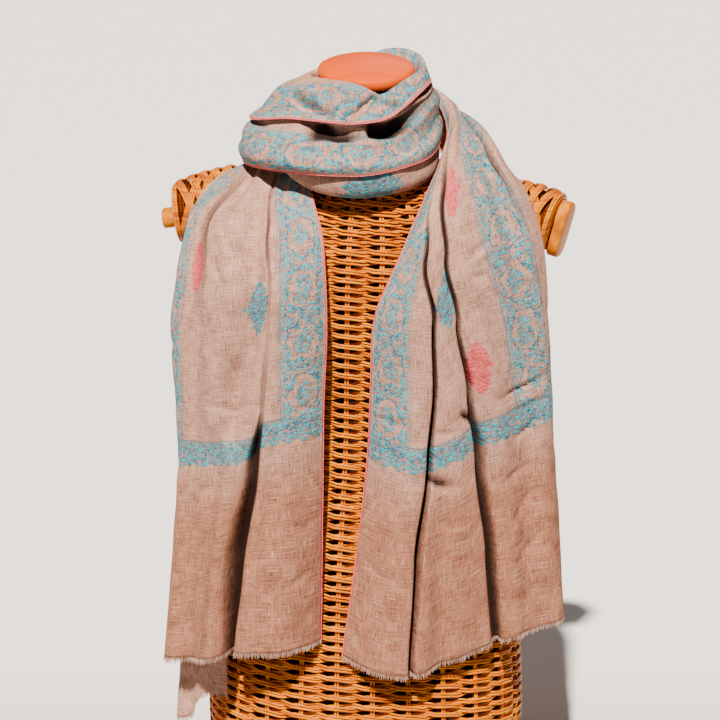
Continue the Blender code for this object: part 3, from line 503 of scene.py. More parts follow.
class Bench:
    """A workbench that adds shader nodes to one tree and joins them."""

    def __init__(self, tree: bpy.types.NodeTree) -> None:
        """Keep the tree and start it empty."""
        self.tree = tree
        self.tree.nodes.clear()

    def add(self, kind: str, **settings: object) -> bpy.types.Node:
        """Add one node and set its options."""
        node = self.tree.nodes.new(kind)
        for key, value in settings.items():
            setattr(node, key, value)
        return node

    def feed(self, socket: Socket, value: Feed) -> None:
        """Link a socket to another, or give it a value."""
        if isinstance(value, Socket):
            self.tree.links.new(value, socket)
        else:
            socket.default_value = value

    def math(self, operation: str, *values: Feed) -> Socket:
        """One arithmetic step."""
        node = self.add("ShaderNodeMath", operation=operation)
        for socket, value in zip(node.inputs, values):
            self.feed(socket, value)
        return node.outputs[0]

    def times(self, first: Feed, second: Feed) -> Socket:
        """Two numbers multiplied."""
        return self.math("MULTIPLY", first, second)

    def plus(self, first: Feed, second: Feed) -> Socket:
        """Two numbers added."""
        return self.math("ADD", first, second)

    def minus(self, first: Feed, second: Feed) -> Socket:
        """The first number less the second."""
        return self.math("SUBTRACT", first, second)

    def over(self, first: Feed, second: Feed) -> Socket:
        """The first number divided by the second."""
        return self.math("DIVIDE", first, second)

    def scale(self, value: Feed, factor: Feed, more: Feed) -> Socket:
        """A number times a factor, plus another number."""
        return self.math("MULTIPLY_ADD", value, factor, more)

    def size(self, value: Feed) -> Socket:
        """A number without its sign."""
        return self.math("ABSOLUTE", value)

    def sine(self, value: Feed) -> Socket:
        """The sine of a number of radians."""
        return self.math("SINE", value)

    def apart(self, first: Feed, second: Feed) -> Socket:
        """How far two numbers are apart."""
        return self.size(self.minus(first, second))

    def clamp(self, value: Feed) -> Socket:
        """A number held between 0 and 1."""
        return self.math("MAXIMUM", 0.0, self.math("MINIMUM", 1.0, value))

    def vector(self, operation: str, *values: Feed) -> Socket:
        """One vector step; the result is a vector."""
        node = self.add("ShaderNodeVectorMath", operation=operation)
        for socket, value in zip(node.inputs, values):
            self.feed(socket, value)
        return node.outputs["Vector"]

    def split(self, vector: Feed) -> tuple[Socket, ...]:
        """The three numbers of a vector."""
        node = self.add("ShaderNodeSeparateXYZ")
        self.feed(node.inputs[0], vector)
        return tuple(node.outputs)

    def join(self, x: Feed, y: Feed, z: Feed = 0.0) -> Socket:
        """A vector of three numbers."""
        node = self.add("ShaderNodeCombineXYZ")
        for socket, value in zip(node.inputs, (x, y, z)):
            self.feed(socket, value)
        return node.outputs[0]

    def ease(self, value: Feed, low: Feed, high: Feed) -> Socket:
        """0 at low and 1 at high, with a soft start and end; high may be the smaller."""
        node = self.add("ShaderNodeMapRange", interpolation_type="SMOOTHSTEP")
        self.feed(node.inputs["Value"], value)
        self.feed(node.inputs["From Min"], low)
        self.feed(node.inputs["From Max"], high)
        return node.outputs["Result"]

    def noise(self, vector: Feed, scale: Feed, detail: float = 2.0, roughness: float = 0.5) -> Socket:
        """Soft noise from 0 to 1."""
        node = self.add("ShaderNodeTexNoise")
        settings = {"Vector": vector, "Scale": scale, "Detail": detail, "Roughness": roughness}
        for key, value in settings.items():
            self.feed(node.inputs[key], value)
        return node.outputs[0]

    def blend(self, factor: Feed, first: Feed, second: Feed) -> Socket:
        """Mix two colours."""
        node = self.add("ShaderNodeMix", data_type="RGBA")
        self.feed(node.inputs[0], factor)
        self.feed(node.inputs[6], first)
        self.feed(node.inputs[7], second)
        return node.outputs[2]

    def tones(self, factor: Feed, pair: tuple) -> Socket:
        """Mix a dark and a light colour, both given by screen values."""
        return self.blend(factor, tint(pair[0]), tint(pair[1]))

    def most(self, *values: Feed) -> Socket:
        """The largest of several numbers."""
        result = values[0]
        for value in values[1:]:
            result = self.math("MAXIMUM", result, value)
        return result

    def group(self, tree: bpy.types.NodeTree, **inputs: Feed) -> bpy.types.Node:
        """Place a node group; underscores in a name stand for spaces."""
        node = self.add("ShaderNodeGroup", node_tree=tree)
        for key, value in inputs.items():
            self.feed(node.inputs[key.replace("_", " ")], value)
        return node

    def surface(self, settings: dict[str, Feed], height: Feed = 0.0, strength: float = 0.0,
                distance: float = 0.0) -> None:
        """End a material's tree with its surface.

        Args:
            settings: the surface's inputs by name.
            height: what its bump follows.
            strength: the bump's strength, 0 for none.
            distance: the bump's height in metres.
        """
        shader = self.add("ShaderNodeBsdfPrincipled")
        for key, value in settings.items():
            self.feed(shader.inputs[key], value)
        if strength:
            bump = self.add("ShaderNodeBump")
            for key, value in (("Strength", strength), ("Distance", distance), ("Height", height)):
                self.feed(bump.inputs[key], value)
            self.feed(shader.inputs["Normal"], bump.outputs[0])
        output = self.add("ShaderNodeOutputMaterial")
        self.feed(output.inputs["Surface"], shader.outputs[0])


def start_group(name: str, inputs: dict[str, str],
                outputs: tuple[str, ...]) -> tuple[Bench, dict[str, Socket], bpy.types.Node]:
    """Start a shader node group.

    Args:
        name: the group's name.
        inputs: its input names with "Vector" or "Float".
        outputs: the names of its number outputs.

    Returns:
        The bench, the input sockets by name and the output node.
    """
    tree = bpy.data.node_groups.new(name, "ShaderNodeTree")
    for key, kind in inputs.items():
        tree.interface.new_socket(key, in_out="INPUT", socket_type="NodeSocket" + kind)
    for key in outputs:
        tree.interface.new_socket(key, in_out="OUTPUT", socket_type="NodeSocketFloat")
    bench = Bench(tree)
    source = bench.add("NodeGroupInput")
    sink = bench.add("NodeGroupOutput")
    return bench, {key: source.outputs[key] for key in inputs}, sink


def tint(colour: Triple) -> tuple[float, ...]:
    """A linear colour with full alpha, from screen values of 0 to 255."""
    return (*((value / 255.0) ** 2.2 for value in colour), 1.0)


def start_material(name: str) -> tuple[bpy.types.Material, Bench]:
    """A new material, and the bench for its nodes."""
    material = bpy.data.materials.new(name)
    material.use_nodes = True
    return material, Bench(material.node_tree)


class PatternGroups:
    """The shader node groups that the wool finishes share; flat places are in millimetres."""

    def __init__(self) -> None:
        """Build every group once."""
        self.weave = self.make_weave()
        self.florets = self.make_florets()
        self.vine_band = self.make_vine_band()
        self.cross_band = self.make_cross_band()
        self.medallion = self.make_medallion()

    @staticmethod
    def make_weave() -> bpy.types.NodeTree:
        """Uneven hand-spun threads both ways, with slubs, thin places and a soft mottle."""
        bench, given, sink = start_group("wool_weave", {"Flat": "Vector"}, ("Tone", "Slub", "Height"))
        flat = given["Flat"]
        warp = bench.noise(bench.vector("MULTIPLY", flat, (1.0, 0.09, 1.0)), 0.75, 2.0, 0.6)
        weft = bench.noise(bench.vector("MULTIPLY", flat, (0.06, 1.0, 1.0)), 0.75, 2.0, 0.6)
        patch = bench.noise(flat, 0.05, 3.0)
        speck = bench.noise(flat, 1.15, 2.0, 0.9)
        crossed = bench.plus(warp, weft)
        tone = bench.scale(speck, 2.6, bench.scale(crossed, 1.1, -1.9))
        tone = bench.scale(bench.minus(patch, 0.5), 0.6, tone)
        bench.feed(sink.inputs["Tone"], bench.clamp(tone))
        rare = bench.noise(bench.vector("MULTIPLY", flat, (0.05, 0.85, 1.0)), 1.0, 1.0)
        tall = bench.noise(bench.vector("MULTIPLY", flat, (0.85, 0.06, 1.0)), 1.0, 1.0)
        bench.feed(sink.inputs["Slub"], bench.ease(bench.most(rare, tall), 0.64, 0.76))
        across, along, _ = bench.split(flat)
        twill = bench.sine(bench.times(bench.plus(across, along), 5.2))
        height = bench.scale(twill, 0.16, crossed)
        bench.feed(sink.inputs["Height"], height)
        return bench.tree

    @staticmethod
    def make_florets() -> bpy.types.NodeTree:
        """Small round chain-stitch flowers scattered where the cover is 1."""
        bench, given, sink = start_group(
            "florets", {"Flat": "Vector", "Spacing": "Float", "Cover": "Float"}, ("Mask", "Height", "Tone"))
        cell = bench.vector("DIVIDE", given["Flat"], bench.join(given["Spacing"], given["Spacing"], 1.0))
        cells = bench.add("ShaderNodeTexVoronoi", voronoi_dimensions="2D")
        bench.feed(cells.inputs["Vector"], cell)
        bench.feed(cells.inputs["Scale"], 1.0)
        bench.feed(cells.inputs["Randomness"], 0.85)
        chance, size, shade = bench.split(cells.outputs["Color"])
        off_x, off_y, _ = bench.split(bench.vector("SUBTRACT", cell, cells.outputs["Position"]))
        petals = bench.math("COSINE", bench.times(bench.math("ARCTAN2", off_y, off_x), 5.0))
        radius = bench.scale(petals, 0.08, bench.scale(size, 0.16, 0.30))
        distance = cells.outputs["Distance"]
        disc = bench.ease(distance, bench.plus(radius, 0.07), bench.minus(radius, 0.05))
        kept = bench.ease(bench.scale(chance, 0.5, given["Cover"]), 0.52, 0.62)
        mask = bench.times(disc, kept)
        bench.feed(sink.inputs["Mask"], mask)
        ring = bench.sine(bench.times(distance, 7.4))
        bench.feed(sink.inputs["Height"], bench.times(mask, bench.scale(ring, 0.5, 0.5)))
        fleck = bench.minus(bench.noise(given["Flat"], 1.4, 0.0), 0.5)
        tone = bench.scale(fleck, 1.6, bench.scale(ring, 0.3, shade))
        tone = bench.clamp(tone)
        bench.feed(sink.inputs["Tone"], tone)
        return bench.tree

    @staticmethod
    def make_vine_band() -> bpy.types.NodeTree:
        """A lengthwise band: arched stems round bouquets, between ladder-stitched borders."""
        bench, given, sink = start_group(
            "vine_band", {"Flat": "Vector", "Centre": "Float", "Outer Border": "Float", "End": "Float"},
            ("Cover", "Line"))
        sway = bench.noise(given["Flat"], 0.07, 2.0)
        other = bench.noise(bench.vector("ADD", given["Flat"], (31.0, 57.0, 5.0)), 0.07, 2.0)
        across, along, _ = bench.split(given["Flat"])
        straight = bench.minus(across, given["Centre"])
        p = bench.scale(bench.minus(sway, 0.5), 16.0, straight)
        q = bench.scale(bench.minus(other, 0.5), 22.0, along)
        q = bench.math("WRAP", q, 27.0, -27.0)
        side = bench.size(straight)

        def oval(width: float, length: float) -> Socket:
            """Distance from the middle of a repeat, 1 on an oval of these half sizes."""
            squares = [bench.math("POWER", bench.size(bench.over(way, half)), 2.0)
                       for way, half in ((p, width), (q, length))]
            return bench.math("SQRT", bench.plus(*squares))

        arch = oval(17.0, 22.0)
        bouquet = bench.ease(oval(9.5, 14.0), 1.1, 0.85)
        near_arch = bench.ease(bench.apart(arch, 1.08), 0.26, 0.14)
        clump = bench.ease(bench.noise(given["Flat"], 0.115, 0.0), 0.38, 0.48)
        corner = bench.ease(arch, 1.22, 1.36)
        cover = bench.most(bouquet, bench.times(near_arch, clump), bench.times(corner, 0.85))
        inside = bench.ease(side, 22.5, 20.5)
        live = bench.ease(along, given["End"], bench.plus(given["End"], 2.0))
        bench.feed(sink.inputs["Cover"], bench.times(bench.times(cover, inside), live))
        stem = bench.ease(bench.apart(arch, 1.0), 0.042, 0.016)
        curl = bench.noise(bench.vector("ADD", given["Flat"], (7.0, 3.0, 9.0)), 0.13, 1.0)
        curl = bench.ease(bench.apart(curl, 0.5), 0.022, 0.008)
        stems = bench.times(bench.most(stem, bench.times(curl, 0.85)), inside)
        rail = bench.apart(bench.apart(side, 23.9), 1.1)
        dots = bench.scale(bench.sine(bench.times(along, 2.6)), 0.3, 0.7)
        shown = bench.math("MAXIMUM", bench.math("GREATER_THAN", straight, 0.0), given["Outer Border"])
        ladder = bench.times(bench.times(bench.ease(rail, 0.6, 0.25), dots),
                            bench.times(shown, 0.8))
        bench.feed(sink.inputs["Line"], bench.times(bench.most(stems, ladder), live))
        return bench.tree

    @staticmethod
    def make_cross_band() -> bpy.types.NodeTree:
        """The band across each end: close flowers over a wavy stem, scalloped below."""
        bench, given, sink = start_group(
            "cross_band", {"Flat": "Vector", "Level": "Float"}, ("Cover", "Line"))
        across, along, _ = bench.split(given["Flat"])
        sway = bench.noise(given["Flat"], 0.09, 1.0)
        q = bench.minus(along, given["Level"])
        scallop = bench.size(bench.sine(bench.times(across, math.pi / 15.0)))
        low = bench.scale(scallop, -5.0, -9.0)
        above = bench.ease(bench.minus(q, low), -0.8, 1.0)
        below = bench.ease(q, 13.4, 12.4)
        clump = bench.ease(bench.noise(given["Flat"], 0.15, 0.0), 0.33, 0.45)
        cover = bench.times(bench.times(above, below), bench.scale(clump, 0.5, 0.5))
        bench.feed(sink.inputs["Cover"], cover)
        wave = bench.sine(bench.scale(sway, 3.0, bench.times(across, 0.30)))
        stem = bench.ease(bench.size(bench.scale(wave, -6.5, q)), 1.1, 0.45)
        border = bench.ease(bench.apart(q, 14.2), 0.8, 0.35)
        border = bench.times(border, 0.8)
        bench.feed(sink.inputs["Line"], bench.most(bench.times(stem, below), border))
        return bench.tree

    @staticmethod
    def make_medallion() -> bpy.types.NodeTree:
        """An upright spray of close flowers with two short arms."""
        bench, given, sink = start_group("medallion", {"Flat": "Vector", "Place": "Vector"}, ("Cover",))
        rough = bench.noise(given["Flat"], 0.26, 1.0)
        across, along, _ = bench.split(bench.vector("SUBTRACT", given["Flat"], given["Place"]))
        side = bench.size(across)
        tall = bench.size(along)
        body = bench.plus(bench.over(side, 13.5), bench.math("POWER", bench.over(tall, 31.0), 2.2))
        arms = bench.plus(bench.over(side, 21.0), bench.over(tall, 12.0))
        shape = bench.scale(bench.minus(rough, 0.5), 0.9, bench.math("MINIMUM", body, arms))
        bench.feed(sink.inputs["Cover"], bench.ease(shape, 1.06, 0.92))
        return bench.tree


# ---------------------------------------------------------------- finishes
@dataclass(frozen=True)
class Medallion:
    """A spray of flowers at a flat place, in millimetres from the selvedge and from the hem."""

    across: float
    along: float
    coral: bool = False


# Screen values, a dark and a light one where there are two.
ROSE_WOOL = ((112, 66, 51), (224, 174, 152))
TAN_WOOL = ((96, 50, 36), (199, 138, 110))
SLUB_WOOL = (226, 190, 170)
TEAL_THREAD = ((0, 78, 102), (4, 180, 198))
CORAL_THREAD = ((190, 34, 52), (252, 92, 108))
SELVEDGE_THREAD = (206, 62, 80)
# Painted shade: the near-black brown that deep slots and creases are darkened towards.
SLOT_SHADE = (22, 7, 3)
FLORET_SPACING = 3.7
# The wool turns tan between these distances from the hem.
TAN_FROM, TAN_FULL = 236.0, 150.0


@dataclass(frozen=True)
class WoolFinish:
    """Fine hand-spun wool with the embroidery that falls on one stretch."""

    name: str
    bands: tuple[tuple[float, bool], ...] = ()
    band_end: float = -1000.0
    cross_level: float | None = None
    medallions: tuple[Medallion, ...] = ()
    warm_hem: bool = False
    whipped: bool = True

    def make(self, groups: PatternGroups) -> bpy.types.Material:
        """Build the material.

        Args:
            groups: the shared pattern groups.

        Returns:
            A material that reads the piece's flat UV map.
        """
        material, bench = start_material(self.name)
        coords = bench.add("ShaderNodeUVMap", uv_map="flat")
        flat = bench.vector("MULTIPLY", coords.outputs[0], (1000.0, 1000.0, 0.0))
        weave = bench.group(groups.weave, Flat=flat)
        wool = bench.tones(weave.outputs["Tone"], ROSE_WOOL)
        across, along, _ = bench.split(flat)
        if self.warm_hem:
            tan = bench.tones(weave.outputs["Tone"], TAN_WOOL)
            wool = bench.blend(bench.ease(along, TAN_FROM, TAN_FULL), wool, tan)
        wool = bench.blend(bench.times(weave.outputs["Slub"], 0.5), wool, tint(SLUB_WOOL))

        covers, lines, corals, grounds = [0.0], [0.0], [0.0], [0.0]
        for centre, both in self.bands:
            band = bench.group(
                groups.vine_band, Flat=flat, Centre=centre, Outer_Border=float(both), End=self.band_end)
            covers.append(band.outputs["Cover"])
            lines.append(band.outputs["Line"])
            grounds.append(bench.times(band.outputs["Cover"], 0.3))
        if self.cross_level is not None:
            band = bench.group(groups.cross_band, Flat=flat, Level=self.cross_level)
            covers.append(band.outputs["Cover"])
            lines.append(band.outputs["Line"])
            grounds.append(bench.times(band.outputs["Cover"], 0.5))
        sprays = [0.0]
        for medallion in self.medallions:
            spray = bench.group(groups.medallion, Flat=flat, Place=(medallion.across, medallion.along, 0.0))
            (corals if medallion.coral else sprays).append(spray.outputs["Cover"])
        spray = bench.most(*sprays)
        coral = bench.most(*corals)
        cover = bench.most(*covers, spray, coral)
        flowers = bench.group(groups.florets, Flat=flat, Spacing=FLORET_SPACING, Cover=cover)
        grounds.append(bench.times(bench.most(spray, coral), 0.6))
        worn = bench.scale(bench.noise(flat, 1.6, 1.0), 0.7, 0.62)
        sewn = bench.most(flowers.outputs["Mask"], bench.most(*lines), *grounds)
        stitched = bench.math("MINIMUM", 1.0, bench.times(sewn, worn))
        tone = bench.times(flowers.outputs["Tone"], bench.scale(flowers.outputs["Mask"], 0.6, 0.4))
        teal = bench.tones(tone, TEAL_THREAD)
        pink = bench.tones(tone, CORAL_THREAD)
        thread = bench.blend(bench.ease(coral, 0.2, 0.6), teal, pink)
        whipped = bench.times(bench.ease(across, 2.2, 1.2), 0.9 if self.whipped else 0.0)
        thread = bench.blend(bench.ease(whipped, 0.0, 0.5), thread, tint(SELVEDGE_THREAD))
        stitched = bench.most(stitched, whipped)
        # Painted shade: the hollow attribute darkens the wool towards SLOT_SHADE in deep slots and creases.
        hollow = bench.add("ShaderNodeAttribute", attribute_name="hollow")
        colour = bench.blend(stitched, wool, thread)
        colour = bench.blend(bench.times(hollow.outputs["Fac"], 0.97), colour, tint(SLOT_SHADE))

        raised = bench.times(flowers.outputs["Height"], 0.75)
        raised = bench.scale(bench.most(*lines), 0.35, raised)
        height = bench.scale(weave.outputs["Height"], 0.22, raised)
        settings = {"Base Color": colour, "Roughness": 0.9, "Specular IOR Level": 0.15}
        bench.surface(settings, height, strength=0.7, distance=0.0009)
        return material


@dataclass(frozen=True)
class GrainFinish:
    """A streaked natural finish: cane, wood, lacquer or loose yarn, read from object places.

    The stretch gives how fast the streaks change along each axis, per metre.
    """

    name: str
    dark: Triple
    light: Triple
    stretch: Triple
    roughness: float
    bump: float
    sheen: float = 0.0
    speckle: float = 0.0
    shine: Triple = (255, 255, 255)
    gloss: float = 0.5

    def make(self) -> bpy.types.Material:
        """Build the material."""
        material, bench = start_material(self.name)
        coords = bench.add("ShaderNodeTexCoord")
        place = bench.vector("MULTIPLY", coords.outputs["Object"], self.stretch)
        streak = bench.noise(place, 1.0, 3.0, 0.6)
        patch = bench.noise(coords.outputs["Object"], 22.0, 2.0)
        speck = bench.noise(coords.outputs["Object"], 900.0, 1.0)
        tone = bench.scale(bench.minus(patch, 0.5), 0.5, bench.ease(streak, 0.30, 0.70))
        tone = bench.scale(bench.minus(speck, 0.5), self.speckle, tone)
        colour = bench.tones(bench.clamp(tone), (self.dark, self.light))
        rough = bench.scale(bench.minus(patch, 0.5), 0.25, self.roughness)
        settings = {"Base Color": colour, "Roughness": rough, "Specular Tint": tint(self.shine),
                    "Specular IOR Level": self.gloss, "Sheen Weight": self.sheen}
        bench.surface(settings, streak, self.bump, distance=0.0006)
        return material


AMBER = (255, 168, 70)
FINE_STREAKS = (16.0, 16.0, 420.0)
CANE = GrainFinish("varnished_cane", (172, 78, 0), (240, 142, 0), FINE_STREAKS, 0.46, 0.35, shine=AMBER)
# A darker copy of the cane: painted shade for the lining hoops seen in the gaps of the stub wraps.
SHADE_PAINTED_CANE = GrainFinish(
    "shade_painted_cane", (70, 28, 4), (120, 54, 8), FINE_STREAKS, 0.6, 0.3, shine=AMBER, gloss=0.2)
STAKE = GrainFinish("stake_cane", (206, 100, 0), (250, 150, 10), (300.0, 300.0, 14.0), 0.46, 0.3, shine=AMBER)
# Near-black: painted shade for the inside of the form, seen only through the weave.
SHADOWED_CANE = GrainFinish("shadowed_cane", (22, 7, 1), (44, 15, 3), (20.0, 20.0, 300.0), 0.9, 0.2)
LACQUER = GrainFinish(
    "lacquered_cap", (214, 74, 0), (228, 88, 0), (9.0, 60.0, 9.0), 0.3, 0.03, shine=AMBER, gloss=0.1)
# A darker copy of the lacquer: painted shade for the cap's steep side band.
SHADED_CAP_SIDE = GrainFinish(
    "lacquer_painted_side_shade", (150, 40, 0), (190, 66, 0), (9.0, 9.0, 90.0), 0.3, 0.03, shine=AMBER, gloss=0.2)
PLATE_WOOD = GrainFinish(
    "plate_wood", (170, 84, 0), (226, 134, 0), (60.0, 14.0, 90.0), 0.46, 0.25, shine=AMBER, gloss=0.15)
LOOSE_YARN = GrainFinish(
    "loose_yarn", (150, 106, 86), (212, 170, 148), (500.0, 500.0, 60.0), 0.9, 0.2, sheen=0.1)
WHIPPED_EDGE = GrainFinish(
    "whipped_edge", (186, 50, 66), (236, 130, 126), (900.0, 900.0, 900.0), 0.9, 0.6, speckle=1.1)


# ---------------------------------------------------------------- curves and meshes
def blend_weights(count: int, places: np.ndarray) -> np.ndarray:
    """Weights of a smooth curve through evenly numbered points.

    Args:
        count: how many points the curve passes through.
        places: places to read, where 1.5 is halfway between points 1 and 2.

    Returns:
        One row of weights for each place.
    """
    flat = np.asarray(places, float).ravel()
    first = np.clip(np.floor(flat).astype(int), 0, count - 2)
    t = flat - first
    parts = 0.5 * np.stack([-t + 2 * t**2 - t**3, 2 - 5 * t**2 + 3 * t**3,
                            t + 4 * t**2 - 3 * t**3, t**3 - t**2])
    table = np.zeros((flat.size, count))
    rows = np.arange(flat.size)
    np.add.at(table, (rows, first), parts[1])
    np.add.at(table, (rows, first + 1), parts[2])
    start = first == 0
    np.add.at(table, (rows, np.where(start, 0, first - 1)), np.where(start, 2, 1) * parts[0])
    np.add.at(table, (rows, np.where(start, 1, 0)), np.where(start, -parts[0], 0))
    end = first == count - 2
    np.add.at(table, (rows, np.where(end, count - 1, first + 2 - end)), np.where(end, 2, 1) * parts[3])
    np.add.at(table, (rows, np.where(end, count - 2, 0)), np.where(end, -parts[3], 0))
    return table


def finish_piece(name: str, data: bmesh.types.BMesh, material: bpy.types.Material,
                 replaced: tuple[str, ...] = ()) -> bpy.types.Object:
    """Put a finished bmesh into the scene as a piece that rides on the body.

    Args:
        name: the piece's name.
        data: its mesh, which is freed.
        material: its finish.
        replaced: CAD nodes that it stands for.

    Returns:
        The new object.
    """
    mesh = bpy.data.meshes.new(name)
    data.to_mesh(mesh)
    data.free()
    return place_mesh(name, mesh, material, replaced)


def place_mesh(name: str, mesh: bpy.types.Mesh, material: bpy.types.Material,
               replaced: tuple[str, ...] = ()) -> bpy.types.Object:
    """Put a mesh into the scene as a piece; the arguments are those of finish_piece."""
    mesh.shade_smooth()
    mesh.materials.clear()
    mesh.materials.append(material)
    piece = bpy.data.objects.new(name, mesh)
    bpy.context.scene.collection.objects.link(piece)
    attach(piece, BODY)
    if replaced:
        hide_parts(*replaced)
    log.info("%s: %d faces", name, len(mesh.polygons))
    return piece


def loft(name: str, rings: list[np.ndarray], material: bpy.types.Material,
         replaced: tuple[str, ...] = ()) -> None:
    """Put a closed shell through rings of points into the scene.

    Args:
        name: the piece's name.
        rings: rows of x, y and z in millimetres, with as many rows in each ring.
        material: its finish.
        replaced: CAD nodes that it stands for.
    """
    shell = bmesh.new()
    bmesh.ops.create_circle(shell, cap_ends=True, radius=1.0, segments=len(rings[0]))
    ring = shell.verts[:]
    edges = shell.edges[:]
    for index, points in enumerate(rings):
        if index:
            grown = bmesh.ops.extrude_edge_only(shell, edges=edges)["geom"]
            fresh = {item for item in grown if isinstance(item, bmesh.types.BMVert)}
            edges = [item for item in grown
                     if isinstance(item, bmesh.types.BMEdge) and fresh.issuperset(item.verts)]
            ring = [next(edge.other_vert(vert) for edge in vert.link_edges if edge.other_vert(vert) in fresh)
                    for vert in ring]
        for vert, point in zip(ring, points):
            vert.co = (point + MODEL_SHIFT) * MM
    bmesh.ops.edgeloop_fill(shell, edges=edges)
    bmesh.ops.recalc_face_normals(shell, faces=shell.faces)
    finish_piece(name, shell, material, replaced)


@dataclass
class Strands:
    """Many round canes or yarns gathered into one mesh."""

    name: str
    radius: float
    sides: int = 1

    def __post_init__(self) -> None:
        """Start with an empty bundle."""
        self.curve = bpy.data.curves.new(self.name, "CURVE")
        self.curve.dimensions = "3D"
        self.curve.bevel_depth = self.radius * MM
        self.curve.bevel_resolution = self.sides
        self.curve.use_fill_caps = True

    def lay(self, points: np.ndarray, closed: bool = False, radii: np.ndarray | None = None) -> None:
        """Lay one strand through points in millimetres.

        Args:
            points: rows of x, y and z.
            closed: whether it joins up with itself.
            radii: its thickness at each point, as a share of the radius.
        """
        spline = self.curve.splines.new("POLY")
        spline.points.add(len(points) - 1)
        four = np.ones((len(points), 4))
        four[:, :3] = (points + MODEL_SHIFT) * MM
        spline.points.foreach_set("co", four.ravel())
        if radii is not None:
            spline.points.foreach_set("radius", radii)
        spline.use_cyclic_u = closed
        spline.use_smooth = True

    def finish(self, material: bpy.types.Material, slot: Slot,
               replaced: tuple[str, ...] = ()) -> bpy.types.Object:
        """Turn the bundle into a mesh piece; the arguments are those of finish_piece."""
        guide = bpy.data.objects.new(self.name + "_guide", self.curve)
        bpy.context.scene.collection.objects.link(guide)
        bpy.context.view_layer.update()
        mesh = bpy.data.meshes.new_from_object(guide.evaluated_get(bpy.context.evaluated_depsgraph_get()))
        bpy.data.objects.remove(guide, do_unlink=True)
        bpy.data.curves.remove(self.curve)
        mesh.name = self.name
        return place_mesh(self.name, mesh, material, replaced)


